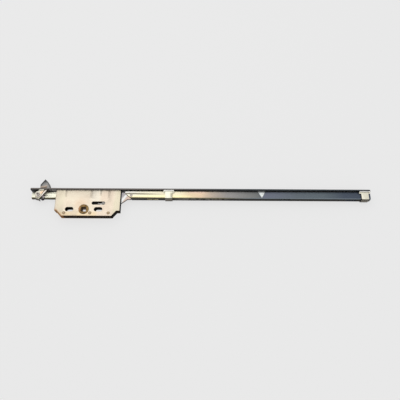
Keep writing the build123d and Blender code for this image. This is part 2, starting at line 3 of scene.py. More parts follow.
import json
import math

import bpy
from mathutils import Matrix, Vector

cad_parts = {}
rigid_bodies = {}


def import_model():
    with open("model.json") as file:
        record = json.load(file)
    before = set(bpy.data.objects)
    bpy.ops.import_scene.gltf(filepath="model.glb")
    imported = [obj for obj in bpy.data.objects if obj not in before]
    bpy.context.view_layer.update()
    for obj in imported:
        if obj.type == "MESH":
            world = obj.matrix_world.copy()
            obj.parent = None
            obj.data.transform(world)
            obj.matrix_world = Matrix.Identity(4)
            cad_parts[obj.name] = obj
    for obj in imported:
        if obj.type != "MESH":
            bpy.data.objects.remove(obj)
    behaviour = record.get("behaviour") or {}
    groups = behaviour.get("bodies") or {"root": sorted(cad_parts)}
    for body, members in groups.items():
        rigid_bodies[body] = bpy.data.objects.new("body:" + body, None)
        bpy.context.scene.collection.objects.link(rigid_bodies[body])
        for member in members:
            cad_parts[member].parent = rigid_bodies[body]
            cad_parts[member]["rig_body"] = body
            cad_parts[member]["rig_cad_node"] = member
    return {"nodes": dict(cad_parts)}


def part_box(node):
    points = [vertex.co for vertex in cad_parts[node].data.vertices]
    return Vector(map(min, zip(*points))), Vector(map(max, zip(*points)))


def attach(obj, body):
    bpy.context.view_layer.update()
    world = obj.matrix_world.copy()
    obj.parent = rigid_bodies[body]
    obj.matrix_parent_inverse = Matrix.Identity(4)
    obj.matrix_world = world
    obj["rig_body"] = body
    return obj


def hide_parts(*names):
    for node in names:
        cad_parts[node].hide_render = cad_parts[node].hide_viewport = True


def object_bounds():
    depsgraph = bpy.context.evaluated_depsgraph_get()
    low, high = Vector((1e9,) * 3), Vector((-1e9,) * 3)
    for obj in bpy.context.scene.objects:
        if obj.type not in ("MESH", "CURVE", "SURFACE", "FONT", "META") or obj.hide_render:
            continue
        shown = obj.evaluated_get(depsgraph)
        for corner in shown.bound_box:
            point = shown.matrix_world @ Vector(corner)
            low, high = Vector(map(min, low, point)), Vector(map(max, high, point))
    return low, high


bl_info = {
    "name": "Espagnolette bolt finish",
    "version": (1, 0, 0),
    "blender": (4, 5, 0),
    "location": "View3D > Sidebar > Bolt",
    "description": "Models and finishes the pieces of an espagnolette bolt around its packed frame",
    "category": "Object",
}

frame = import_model()

CAD_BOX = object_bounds()
MM = 0.001


def linear(red, green, blue):
    """The shader colour of a colour written from 0 to 255."""
    def one(value):
        share = value / 255
        return share / 12.92 if share <= 0.04045 else ((share + 0.055) / 1.055) ** 2.4
    return (one(red), one(green), one(blue), 1.0)


def tint(name, description, red, green, blue):
    """A colour property with its default."""
    return bpy.props.FloatVectorProperty(name=name, description=description, subtype="COLOR", size=4,
                                         min=0.0, max=1.0, default=linear(red, green, blue))


def length(name, description, millimetres):
    """A length property with its default."""
    return bpy.props.FloatProperty(name=name, description=description, unit="LENGTH", precision=5,
                                   default=millimetres * MM)


class BoltColours(bpy.types.PropertyGroup):
    """The colours of the bolt's finishes."""
    ivory: tint("Ivory", "Case plating, its main tone", 231, 219, 198)
    blush: tint("Blush", "Case plating where it turns pink", 230, 212, 192)
    lime: tint("Lime", "Case plating where it turns yellow green", 223, 214, 189)
    chalk: tint("Chalk", "Case plating between two grooves", 234, 227, 211)
    honey: tint("Honey", "Case plating along the lower edge", 236, 212, 168)
    sand: tint("Sand", "Case plating between the left slot and the follower", 214, 198, 174)
    # Peach is the plating's tone at the slanted corner, and a painted glow of light round the follower.
    peach_and_glow: tint("Peach", "Case plating at the slanted corner and round the follower", 226, 198, 170)
    # Painted light: the ledge and edge along the cover's slanted corner take the warm brown of the lit wall.
    lamplit: tint("Rubbed", "The cover's slanted corner where it is rubbed", 176, 138, 98)
    # Painted shade: the case's walls are coloured near black, and its wall towards the rod dark grey.
    case_wall_shade: tint("Soot", "Cut edges and folded walls of the case", 40, 27, 16)
    end_wall_shade: tint("End wall", "The case's wall towards the rod", 58, 60, 63)
    # Painted light: the wall at the slanted corner is coloured warm bronze, as if lit.
    lit_bronze: tint("Bronze", "The case's warm corner", 138, 100, 62)
    case_worn: tint("Case worn", "Worn edges of the case", 250, 246, 236)
    rod_white: tint("Rod white", "Rod at its slanted end", 246, 243, 236)
    rod_straw: tint("Rod straw", "Rod past the slider's rivet", 238, 232, 207)
    rod_cream: tint("Rod cream", "Rod just past its first saddle", 231, 221, 190)
    rod_amber: tint("Rod amber", "Rod well past its first saddle", 225, 203, 170)
    rod_tan: tint("Rod tan", "Rod where amber turns to grey", 226, 200, 170)
    rod_clay: tint("Rod clay", "Rod where it loses its yellow", 182, 168, 153)
    rod_mist: tint("Rod mist", "Rod's first plain grey", 147, 144, 142)
    rod_grey: tint("Rod grey", "Rod before its notch", 122, 125, 125)
    rod_plum: tint("Rod plum", "Rod just past its notch", 98, 102, 116)
    rod_slate: tint("Rod slate", "Rod past its notch", 93, 101, 108)
    rod_steel: tint("Rod steel", "Rod before its last stretch", 98, 108, 115)
    rod_dusk: tint("Rod dusk", "Rod on its last stretch", 90, 100, 109)
    rod_blue: tint("Rod blue", "Rod at its far end", 79, 88, 102)
    rod_yellow: tint("Rod yellow", "Rod along its lower edge", 254, 240, 184)
    rod_pink: tint("Rod pink", "Rod along its upper edge past the first saddle", 238, 206, 190)
    # Painted shade on the main rod's rounded lower fold.
    rod_fold_shade: tint("Rod olive", "The main rod's stained fold", 122, 116, 92)
    # Painted highlight on the rod's fold past its notch.
    rod_fold_highlight: tint("Rod line", "The rod's fold past its notch", 120, 130, 138)
    rod_shadow: tint("Rod shadow", "The rods' folded walls", 34, 33, 30)
    rod_wear: tint("Rod wear", "Rubbed spots on the rods' folded walls", 112, 108, 104)
    # Painted shade on what stands below the rods' lower edge.
    rod_under_shade: tint("Rod lip", "What stands below the rods' lower edge", 44, 34, 40)
    rod_worn: tint("Rod worn", "Worn edges of the rods", 225, 225, 220)
    hook_rod_end: tint("Hook rod end", "Hook rod at its left end", 244, 242, 222)
    hook_rod_pale: tint("Hook rod pale", "Hook rod under the hook", 246, 246, 224)
    hook_rod_cream: tint("Hook rod cream", "Hook rod beside the hook", 255, 253, 234)
    hook_rod_lemon: tint("Hook rod lemon", "Hook rod at the case", 255, 250, 226)
    # Painted shade on the hook rod's rounded lower fold.
    hook_rod_fold_shade: tint("Hook rod olive", "The hook rod's stained fold", 120, 112, 88)
    # The edges' tone from the case to the far end is painted reflection.
    strip_edge: tint("Strip edge", "The faceplate's long edges beside the case", 112, 106, 102)
    strip_far: tint("Strip far edge", "The faceplate's long edges at its far end", 58, 64, 68)
    # Painted shade on the faceplate's back.
    strip_back_shade: tint("Strip back", "The faceplate's back", 30, 31, 32)
    strip_front: tint("Strip front", "The faceplate's brushed front", 172, 171, 168)
    strip_worn: tint("Strip worn", "Worn edges of the faceplate", 150, 148, 146)
    bright_worn: tint("Bright worn", "Worn edges of bright zinc", 240, 240, 238)
    slider: tint("Slider", "The bright plate that drives the rods", 202, 200, 197)
    # Painted shade on the slider under the rod's slanted end.
    slider_pink_shade: tint("Slider pink", "The slider under the rod's slanted end", 198, 178, 164)
    slider_shade: tint("Slider shade", "The slider's shaded side next to the case", 160, 156, 158)
    # Painted highlight along the slider's lug.
    slider_highlight: tint("Slider polish", "The slider's polished streak", 222, 222, 220)
    # Painted shadow on the slider where it leaves the case.
    slider_case_shadow: tint("Slider line", "The slider where it leaves the case", 64, 67, 70)
    # Painted shade on the slider's cut edges.
    slider_wall_shade: tint("Slider wall", "The slider's cut edges", 56, 58, 62)
    splice: tint("Splice", "The splice plate in the notch", 222, 226, 224)
    splice_dull: tint("Splice dull", "The splice plate where it is dull", 184, 190, 190)
    # Painted shade on the splice plate's cut edges.
    splice_wall_shade: tint("Splice wall", "The splice plate's cut edges", 70, 72, 74)
    saddle: tint("Saddle", "The saddles' plating", 238, 235, 216)
    saddle_dull: tint("Saddle dull", "The saddles' plating where it is dull", 226, 224, 204)
    # Painted light on the saddles' ears.
    saddle_ear_light: tint("Saddle ear", "The saddles' bright ears", 252, 252, 248)
    # Painted shade on the saddles' lower bends and flanks.
    saddle_fold_shade: tint("Saddle fold", "The saddles' lower bends", 58, 56, 52)
    saddle_flank_shade: tint("Saddle flank", "The saddles' flanks", 54, 52, 48)
    # Painted highlight along the saddles' flanks.
    saddle_flank_highlight: tint("Saddle line", "The worn line on the saddles' flanks", 170, 160, 144)
    # Painted shadow beside the saddles' straps.
    olive_shade: tint("Olive", "Stains beside the saddles", 128, 120, 84)
    cheek: tint("Cheek", "The cheeks' plating", 222, 220, 206)
    cheek_dull: tint("Cheek dull", "The cheeks' plating where it is dull", 206, 202, 184)
    cheek_amber: tint("Cheek amber", "The cheeks over the hook's shank", 236, 200, 164)
    cheek_lilac: tint("Cheek lilac", "The cheeks under the pin", 178, 170, 178)
    # Painted highlight on the near cheek along the shank's edge.
    cheek_highlight: tint("Cheek white", "The near cheek along the shank's bright edge", 252, 240, 228)
    cheek_wall: tint("Cheek wall", "The cheeks' cut edges", 186, 172, 150)
    brass: tint("Brass", "The follower and the hook's bush", 146, 118, 76)
    brass_dark: tint("Dark brass", "The follower's tarnish", 104, 80, 46)
    # Painted light on the follower's left side.
    brass_lit: tint("Bright brass", "The follower's rubbed side", 194, 146, 108)
    brass_deep: tint("Deep brass", "The follower's hole and the brass between the plates", 78, 52, 22)
    brass_worn: tint("Brass worn", "Worn edges of the brass", 208, 172, 112)
    hook_light: tint("Hook light", "The hook's bare flank", 150, 148, 145)
    hook_dull: tint("Hook dull", "The hook's flank where it is dull", 138, 136, 134)
    # Painted dark reflection: grey towards the hook's point, darkest at its nose.
    hook_grey: tint("Hook grey", "The hook towards its point", 118, 118, 118)
    hook_nose_reflection: tint("Hook dark", "The hook's worn nose", 68, 68, 68)
    # Painted shade along the hook's right edge.
    hook_right_shade: tint("Hook right", "The hook's ground right edge", 96, 96, 94)
    # Painted shade at the hook's heel, between the head and the faceplate.
    hook_heel_shade_edge: tint("Hook tan", "The stained line over the hook's heel", 178, 160, 144)
    hook_heel_shade: tint("Hook brown", "The hook's stained heel", 116, 102, 88)
    # Painted shade on the hook's cut edges.
    hook_wall_shade: tint("Hook wall", "The hook's cut edges", 52, 46, 36)
    hook_worn: tint("Hook worn", "Worn edges of the hook", 206, 203, 198)
    shank: tint("Shank", "The hook's shank", 209, 190, 164)
    shank_amber: tint("Shank amber", "The middle of the hook's shank", 226, 192, 156)
    # Painted highlight along the shank's edge.
    shank_highlight: tint("Shank white", "The shank's bright edge", 254, 246, 236)
    shank_low: tint("Shank low", "The shank below its pivot", 196, 192, 172)
    tine: tint("Tine", "The hook's fork", 158, 148, 150)
    tail: tint("Tail", "The tip of the hook's tail", 96, 94, 90)
    rivet: tint("Rivet", "The case's rivets, its tubes and posts", 150, 130, 104)
    rivet_core: tint("Rivet core", "The pale middle of the case's rivets", 180, 158, 128)
    # The rim tones colour the heads' steep sides.
    rivet_rim: tint("Rivet rim", "Dirt round the case's rivets", 84, 66, 48)
    tube_rim: tint("Tube rim", "Sides of the spacer tubes", 120, 114, 104)
    post_rim: tint("Post rim", "Sides of the leaf spring's posts", 110, 104, 96)
    guide: tint("Guide", "The slider's guide block", 134, 130, 126)
    guide_rim: tint("Guide rim", "Sides of the guide block", 30, 26, 24)
    rod_rivet: tint("Rod rivet", "Rivets of the rods", 176, 168, 158)
    # Colours the steep sides of the rods' rivet heads.
    rod_rivet_rim: tint("Rod rivet rim", "Dirt round the rods' rivets", 96, 88, 78)
    pivot: tint("Pivot", "Head of the hook's pivot", 200, 193, 182)
    pivot_core: tint("Pivot core", "The dark middle of the pivot's head", 84, 80, 78)
    # Colours the steep sides of the pivot's head.
    pivot_rim: tint("Pivot rim", "Dirt round the pivot's head", 90, 86, 80)
    drive: tint("Drive pin", "The pin that drives the hook", 84, 80, 80)
    drive_rim: tint("Drive pin rim", "Sides of the drive pin", 60, 52, 52)
    ear_rivet: tint("Ear rivet", "Small rivets of the cheeks and saddles", 190, 180, 162)
    # Colours the steep sides of the small rivets' heads.
    ear_rivet_rim: tint("Ear rivet rim", "Dirt round the small rivets", 150, 144, 132)
    nylon: tint("Nylon", "The runner", 222, 219, 208)
    spring: tint("Spring", "The leaf spring", 70, 74, 84)
    spring_brown: tint("Spring brown", "The leaf spring's warm bands", 104, 90, 70)
    # Grease on the runner; painted shade inside the case, on the rods' downward faces and on the slider inside
    # the case.
    grease_and_shade: tint("Grease", "Grease inside the case and on the rods' hidden faces", 24, 20, 16)
    table: tint("Table", "The pale table top", 242, 242, 242)


class BoltSizes(bpy.types.PropertyGroup):
    """The sizes that the dressed pieces add to the frame's own."""
    sheet_edge: length("Sheet edge", "Rounding of the sheet metal's edges", 0.22)
    rod_edge: length("Rod edge", "Rounding of the rods' edges", 0.18)
    hook_edge: length("Hook edge", "Rounding of the hook's edges", 0.16)
    small_edge: length("Small edge", "Rounding of the small pieces' edges", 0.1)
    dimple: length("Dimple", "Depth of the dimple in a rivet's head", 0.12)
    rivet_shank: length("Rivet shank", "Radius of the rivets' shanks", 1.5)
    lap_head_rise: length("Lap rivet head", "Height of the heads of the two rivets inside the case", 0.5)
    rod_head_rise: length("Rod rivet head", "Height of the heads of the rivet on the main rod", 0.4)
    pivot_thin: length("Pivot, thin end", "Radius of the hook's pivot behind the hook", 1.2)
    pivot_thick: length("Pivot, thick end", "Radius of the hook's pivot in the hook", 2.0)
    pivot_far_head: length("Pivot, far head", "Radius of the pivot's head on the far cheek", 1.9)
    segments: bpy.props.IntProperty(name="Segments", description="Faces across a rounded edge",
                                    default=2, min=1)
    lathe_sides: bpy.props.IntProperty(name="Lathe sides", description="Sides of a turned piece",
                                       default=40, min=3)


class BoltStudio(bpy.types.PropertyGroup):
    """Where the camera stands and how the table is lit."""
    lens: bpy.props.FloatProperty(name="Lens", description="Focal length", default=41.02, unit="CAMERA")
    tilt: bpy.props.FloatProperty(name="Tilt", description="Camera's lean from straight down",
                                  default=math.radians(21.901), unit="ROTATION")
    roll: bpy.props.FloatProperty(name="Roll", description="Camera's turn about its own axis",
                                  default=math.radians(0.326), unit="ROTATION")
    distance: length("Distance", "From the camera to what it aims at", 682.143)
    aim_x: length("Aim X", "What the camera aims at", 172.73)
    aim_y: length("Aim Y", "What the camera aims at", 15.69)
    aim_z: length("Aim Z", "What the camera aims at", 6.0)
    daylight: bpy.props.FloatProperty(name="Daylight", description="Strength of the even light", default=0.56)
    lamp_power: bpy.props.FloatProperty(name="Lamp", description="Power of the main lamp", default=3.4)
    side_lamp_share: bpy.props.FloatProperty(name="Side lamp", default=0.35,
                                             description="Its power as a share of the main lamp's")
    table_glow: bpy.props.FloatProperty(name="Table glow", description="Share of even tone in the table's look",
                                        default=0.78)


# The stage in metres: where each lamp hangs from the object's middle, how wide it is, and the table.
MAIN_LAMP_PLACE = Vector((-0.25, 0.45, 1.1))
SIDE_LAMP_PLACE = Vector((0.7, -0.9, 0.8))
MAIN_LAMP_SIZE = 1.2
SIDE_LAMP_SIZE = 0.9
TABLE_SIZE = 12.0
TABLE_DROP = 0.1 * MM
TABLE_TONE = 0.97

# The camera's film in millimetres, and how near and how far it sees in metres.
FILM_WIDTH = 36.0
NEAR = 0.01
FAR = 50.0

# Edges sharper than SHARP are rounded, and those flatter than SMOOTH are shaded smooth. Faces that lie within
# FLAT of one plane become one face, and corners closer than MERGE become one corner.
SHARP = math.radians(32)
SMOOTH = math.radians(40)
FLAT = math.radians(0.6)
MERGE = 0.002 * MM

BUMP_STRENGTH = 0.35

# Lines that the finishes follow, each from one place to another, in millimetres.
CASE_CORNER = ((-43.5, -2.0), (-34.6, -10.2))
COVER_CORNER = ((-40.2, -2.0), (-32.6, -10.2))
# The slider's lug line follows a painted highlight.
LUG_HIGHLIGHT = ((56.0, 14.4), (62.5, 24.6))
HOOK_NOSE = ((-69.4, 40.1), (-63.3, 48.8))
HOOK_RIGHT = ((-53.9, 34.5), (-59.1, 44.9))
HOOK_HEEL = ((-69.4, 36.4), (-59.0, 39.0))
SHANK_EDGE = ((-66.2, 20.9), (-58.2, 32.0))

# Each pressed groove's middle, half width and length in millimetres, and how much painted shade darkens the
# plating in it.
GROOVES = ((-28.6, 2.0, 11.9, 0.10), (9.5, 2.6, 13.4, 0.2), (23.8, 1.8, 8.9, 0.12), (36.0, 2.2, 14.9, 0.14))

# The hook rod's lower edge in millimetres. Its box reaches lower, to the eye of the drive pin.
HOOK_ROD_LOW = 19.2


class Value:
    """A number that varies over a surface. Sums with it add Math nodes."""

    def __init__(self, nodes, socket):
        self.nodes = nodes
        self.socket = socket

    def math(self, operation, *operands):
        """What a Math node makes of its operands."""
        return self.nodes.node("Math", {"operation": operation}, dict(enumerate(operands)))

    def __add__(self, other):
        return self.math("ADD", self, other)

    def __sub__(self, other):
        return self.math("SUBTRACT", self, other)

    def __mul__(self, other):
        return self.math("MULTIPLY", self, other)

    def __truediv__(self, other):
        return self.math("DIVIDE", self, other)

    def __rsub__(self, other):
        return self.math("SUBTRACT", other, self)

    def __abs__(self):
        return self.math("ABSOLUTE", self)

    def __neg__(self):
        return self.math("MULTIPLY", self, -1.0)

    __radd__ = __add__
    __rmul__ = __mul__

    def most(self, other):
        """The larger of two numbers."""
        return self.math("MAXIMUM", self, other)

    def least(self, other):
        """The smaller of two numbers."""
        return self.math("MINIMUM", self, other)

    def rise(self, low, high):
        """0 below low, 1 above high and smooth between."""
        sockets = {"Value": self, "From Min": low, "From Max": high}
        return self.nodes.node("MapRange", {"interpolation_type": "SMOOTHSTEP"}, sockets)

    def within(self, low, high, soft):
        """1 between low and high, and 0 outside, softly."""
        return self.rise(low - soft, low + soft) * (1 - self.rise(high - soft, high + soft))


class Nodes:
    """A node tree, and the way in which every node is added to it."""

    def __init__(self, tree):
        self.tree = tree
        self.tree.nodes.clear()

    def node(self, kind, settings=None, sockets=None, output=0):
        """Adds a node, makes its settings, fills its sockets and returns one of its outputs."""
        made = self.tree.nodes.new("ShaderNode" + kind)
        for key, value in (settings or {}).items():
            if key == "stops":
                self.stops(made.color_ramp, value)
            else:
                setattr(made, key, value)
        for key, value in (sockets or {}).items():
            if isinstance(value, Value):
                self.tree.links.new(value.socket, made.inputs[key])
            else:
                made.inputs[key].default_value = value
        return Value(self, made.outputs[output]) if made.outputs else None

    def stops(self, ramp, stops):
        """Sets a ramp's stops from pairs of a place and a colour."""
        while len(ramp.elements) < len(stops):
            ramp.elements.new(1.0)
        for element, (place, colour) in zip(ramp.elements, stops):
            element.position = place
            element.color = colour

    def parts(self, vector):
        """The three numbers of a vector."""
        return [self.node("SeparateXYZ", None, {"Vector": vector}, output=axis) for axis in "XYZ"]

    def background_rays(self):
        """1 for the rays that show the background: from the camera, off metal and through glass."""
        camera, glossy, through = [self.node("LightPath", output=f"Is {kind} Ray")
                                   for kind in ("Camera", "Glossy", "Transmission")]
        return camera.most(glossy).most(through)


class Finish(Nodes):
    """A material's node tree and the few ways in which the finishes here add nodes to it."""

    def __init__(self, name):
        self.material = bpy.data.materials.new(name)
        self.material.use_nodes = True
        super().__init__(self.material.node_tree)
        self.place = self.node("TexCoord", output="Object")
        self.facing = self.node("TexCoord", output="Normal")
        self.x, self.y, self.z = self.parts(self.place)
        self.right, self.front, self.up = self.parts(self.facing)

    def beside(self, start, end):
        """How far a place lies to the right of the line from start to end, both given in millimetres."""
        run, climb = end[0] - start[0], end[1] - start[1]
        reach = math.hypot(run, climb)
        return (self.x - start[0] * MM) * (climb / reach) - (self.y - start[1] * MM) * (run / reach)

    def stretched(self, x=1.0, y=1.0, z=1.0):
        """The place on the piece, stretched along each axis."""
        return self.node("VectorMath", {"operation": "MULTIPLY"}, {0: self.place, 1: (x, y, z)})

    def noise(self, size, detail=3.0, rough=0.55, vector=None):
        """Noise from 0 to 1 with spots of about that size in metres."""
        sockets = {"Vector": vector or self.place, "Scale": 1 / size, "Detail": detail, "Roughness": rough}
        return self.node("TexNoise", None, sockets)

    def grain(self, size, along="x", ratio=30.0):
        """Fine lines of that width in metres that run along one axis."""
        short = {axis: 1 / ratio if axis == along else 1.0 for axis in "xyz"}
        return self.noise(size, 2.0, 0.6, self.stretched(**short))

    def mix(self, share, low, high):
        """A colour between two colours."""
        return self.node("Mix", {"data_type": "RGBA"}, {0: share, 6: low, 7: high}, output=2)

    def shade(self, colour, factor):
        """A colour times a number that varies."""
        grey = self.node("CombineColor", None, {0: factor, 1: factor, 2: factor})
        settings = {"data_type": "RGBA", "blend_type": "MULTIPLY"}
        return self.node("Mix", settings, {0: 1.0, 6: colour, 7: grey}, output=2)

    def ramp(self, value, stops):
        """A colour from a ramp."""
        return self.node("ValToRGB", {"stops": stops}, {0: value})

    def worn_edge(self, radius):
        """1 on sharp outer edges and 0 on flats."""
        rounded = self.node("Bevel", {"samples": 6}, {"Radius": radius}, output="Normal")
        flat = self.node("NewGeometry", output="Normal")
        alike = self.node("VectorMath", {"operation": "DOT_PRODUCT"}, {0: rounded, 1: flat}, output="Value")
        return (1 - alike).rise(0.02, 0.25)

    def distance(self, place, vector=None):
        """How far the surface lies from a place, in metres."""
        sockets = {0: vector or self.place, 1: place}
        return self.node("VectorMath", {"operation": "DISTANCE"}, sockets, output="Value")

    def metal(self, colour, rough, height, metallic=0.8, depth=0.05 * MM):
        """Ends the tree in a metal surface."""
        bump = self.node("Bump", None, {"Strength": BUMP_STRENGTH, "Distance": depth, "Height": height},
                         output="Normal")
        sockets = {"Base Color": colour, "Roughness": rough, "Metallic": metallic, "Normal": bump}
        surface = self.node("BsdfPrincipled", None, sockets)
        self.node("OutputMaterial", None, {"Surface": surface})
        return self.material


def case_finish(name, grooves=(), inner_face=None):
    """Pale yellow plating in soft patches, with painted shade in the pressed grooves, on the walls and inside
    the case, and painted light at the slanted corner and round the follower.
    """
    colours = bpy.context.scene.bolt_colours
    made = Finish(name)
    patches = made.noise(14 * MM, 2.0, 0.5)
    bloom = made.noise(5 * MM, 4.0, 0.6, made.stretched(1.0, 0.7, 1.0))
    streaks = made.grain(0.5 * MM, "y", 25.0)
    pits = made.noise(0.5 * MM, 2.0, 0.7)
    x = made.x + (patches - 0.5) * 16 * MM
    y = made.y + (bloom - 0.5) * 6 * MM
    tone = made.mix(patches.rise(0.45, 0.68) * 0.5, colours.ivory, colours.blush)
    tone = made.mix(x.within(24 * MM, 42 * MM, 5 * MM) * 0.7, tone, colours.blush)
    tone = made.mix(x.within(11 * MM, 22 * MM, 3 * MM) * y.rise(8 * MM, 16 * MM) * 0.7, tone, colours.chalk)
    lime = x.rise(43 * MM, 50 * MM) + x.within(-39 * MM, -30 * MM, 3 * MM) * 0.6
    tone = made.mix(lime.least(0.9), tone, colours.lime)
    lower = (1 - y.rise(-6.5 * MM, -2.5 * MM)) * x.within(-40 * MM, 22 * MM, 4 * MM)
    tone = made.mix(lower * 0.6, tone, colours.honey)
    dull = x.within(-21 * MM, -9 * MM, 2 * MM) * (1 - y.rise(-3 * MM, 1 * MM))
    tone = made.mix(dull * 0.8, tone, colours.sand)
    corner = made.beside(*CASE_CORNER)
    tone = made.mix((1 - (-corner).rise(1 * MM, 6 * MM)) * 0.75, tone, colours.peach_and_glow)
    # Painted light: a peach glow round the follower.
    glow = made.distance((-6 * MM, 7 * MM, 6 * MM))
    tone = made.mix((1 - glow.rise(3 * MM, 13 * MM)) * 0.5, tone, colours.peach_and_glow)
    # Painted shade: the plating darkens towards the faceplate.
    shading = 1.0 - 0.07 * made.y.rise(12 * MM, 32 * MM)
    shading = shading * (0.945 + 0.05 * streaks + 0.05 * bloom - 0.1 * pits.rise(0.66, 0.74))
    # Painted shade in each groove, fading out towards its lower end.
    for groove_x, radius, reach, groove_shade in grooves:
        across = 1 - abs(made.x - groove_x * MM).rise(0.3 * radius * MM, 1.1 * radius * MM)
        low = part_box("faceplate")[0].y - reach * MM
        shading = shading * (1 - across * made.y.rise(low, low + 0.35 * reach * MM) * groove_shade)
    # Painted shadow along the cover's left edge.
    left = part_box("case_cover")[0].x
    rim = 1 - made.x.rise(left, left + 1.1 * MM)
    shading = shading * (1 - 0.4 * rim)
    tone = made.shade(tone, shading)
    # The walls get painted shade: near black, and dark grey on the wall towards the rod.
    wall = 1 - abs(made.up).rise(0.3, 0.75)
    # Painted light in bronze on the slanted corner's wall and on the left end of the lower wall.
    warm = wall * (-made.right).rise(0.2, 0.6) * (-made.front).rise(0.2, 0.6)
    warm = warm.most(wall * (1 - made.x.rise(-31 * MM, -28.5 * MM)) * (-made.front).rise(0.5, 0.8))
    side = made.mix(warm, colours.case_wall_shade, colours.lit_bronze)
    side = made.mix(wall * made.right.rise(0.85, 0.97), side, colours.end_wall_shade)
    colour = made.mix(wall, tone, side)
    edge = made.worn_edge(0.25 * MM)
    colour = made.mix(edge * 0.35 * (1 - wall), colour, colours.case_worn)
    rough = 0.34 + 0.16 * patches + 0.1 * streaks + 0.4 * wall
    if inner_face is not None:
        # Painted shade: the case's inner faces are near black, where little light reaches.
        inside = made.z.within(inner_face - 0.05 * MM, inner_face + 20 * MM, 0.02 * MM)
        inside = inside * (made.front + 1).rise(0.05, 0.3) * (1 - made.right.rise(0.8, 0.95))
        colour = made.mix(inside, colour, colours.grease_and_shade)
    # Painted light in warm brown along the cover's slanted corner and on the ledge beyond it.
    outer = made.beside(*COVER_CORNER).rise(-1.4 * MM, -0.2 * MM)
    lamplit = outer * (1 - made.y.rise(-1 * MM, 0.5 * MM)) * made.up.rise(0.4, 0.8)
    colour = made.mix(lamplit * 0.85, colour, colours.lamplit)
    height = 0.6 * streaks + 0.8 * pits + bloom
    return made.metal(colour, rough, height, metallic=0.72 + 0.2 * wall)


def rod_finish(name, stops, first, last, low_edge, olive_shade):
    """Plating whose tone runs along the rod, partly its tint and partly painted reflection, with painted shade
    on the fold and the walls, a painted highlight on the fold past the notch, and drawn lines.

    The stops lie between the places first and last, in millimetres along X, and low_edge is the height in Y
    of the rod's lower edge.
    """
    colours = bpy.context.scene.bolt_colours
    made = Finish(name)
    drift = made.noise(9 * MM, 3.0, 0.6, made.stretched(0.25, 1.0, 1.0))
    lines = made.grain(0.35 * MM, "x", 60.0)
    pits = made.noise(0.45 * MM, 2.0, 0.7)
    blotch = made.noise(22 * MM, 3.0, 0.55)
    spots = made.noise(4.5 * MM, 2.0, 0.6)
    along = (made.x + (blotch - 0.5) * 12 * MM - first * MM) / ((last - first) * MM)
    # The ramp along the rod is partly the plating's tint and partly painted reflection.
    tone = made.ramp(along, [((x - first) / (last - first), colour) for x, colour in stops])
    far = made.x.rise(200 * MM, 262 * MM)
    low = 1 - (made.y + (drift - 0.5) * 3 * MM).rise((low_edge + 2.2) * MM, (low_edge + 6.5) * MM)
    tone = made.mix(low * made.x.within(30 * MM, 158 * MM, 12 * MM) * 0.7, tone, colours.rod_yellow)
    pink = made.y.rise((low_edge + 7) * MM, (low_edge + 10) * MM) * made.x.within(156 * MM, 182 * MM, 5 * MM)
    tone = made.mix(pink * 0.6, tone, colours.rod_pink)
    shading = 0.94 + 0.07 * lines + 0.1 * (drift - 0.4) - 0.12 * pits.rise(0.66, 0.74)
    # Painted reflection: a darker stretch past the first saddle.
    tone = made.shade(tone, shading * (1 - 0.11 * made.x.within(146 * MM, 214 * MM, 10 * MM)))
    # Painted shade on the rounded lower fold, up to the notch.
    fold = made.up.within(0.4, 0.965, 0.02) * (-made.front).rise(0.05, 0.25)
    tone = made.mix(fold * (1 - far), tone, olive_shade)
    # Painted highlight on the fold past the notch.
    tone = made.mix(fold * far * 0.8, tone, colours.rod_fold_highlight)
    wall = 1 - abs(made.up).rise(0.3, 0.62)
    worn = made.x.within(138 * MM, 212 * MM, 10 * MM) * spots.rise(0.4, 0.55)
    side = made.mix(worn * 0.8, colours.rod_shadow, colours.rod_wear)
    colour = made.mix(wall, tone, side)
    # Painted shade on the rods' downward faces.
    colour = made.mix((-made.up).rise(0.3, 0.7), colour, colours.grease_and_shade)
    # Painted shade on whatever stands below the rod's lower edge.
    below = 1 - made.y.rise((low_edge - 0.4) * MM, low_edge * MM)
    colour = made.mix(below, colour, colours.rod_under_shade)
    edge = made.worn_edge(0.2 * MM)
    colour = made.mix(edge * 0.3 * (1 - wall), colour, colours.rod_worn)
    rough = 0.3 + 0.14 * drift + 0.1 * lines + 0.35 * wall
    return made.metal(colour, rough, lines + 0.7 * pits, metallic=0.82 - 0.3 * wall)


def main_rod_finish():
    """The long rod: yellow beside the case, then grey, and blue past its notch, a painted reflection over the
    plating's tint.
    """
    colours = bpy.context.scene.bolt_colours
    notch = (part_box("rod_splice")[0].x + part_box("rod_splice")[1].x) / 2 / MM
    stops = [
        (62, colours.rod_white), (86, colours.rod_straw), (142, colours.rod_cream),
        (158, colours.rod_amber), (172, colours.rod_tan), (190, colours.rod_clay),
        (214, colours.rod_mist), (notch - 5, colours.rod_grey), (notch + 3, colours.rod_plum),
        (320, colours.rod_slate), (358, colours.rod_steel), (376, colours.rod_dusk),
        (392, colours.rod_blue),
    ]
    return rod_finish("rod_plating", stops, 40, 440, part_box("main_rod")[0].y / MM, colours.rod_fold_shade)


def hook_rod_finish():
    """The short rod, pale yellow all along."""
    colours = bpy.context.scene.bolt_colours
    stops = [(-80, colours.hook_rod_end), (-64, colours.hook_rod_pale), (-54, colours.hook_rod_cream),
             (-36, colours.hook_rod_lemon)]
    return rod_finish("hook_rod_plating", stops, -90, 0, HOOK_ROD_LOW, colours.hook_rod_fold_shade)


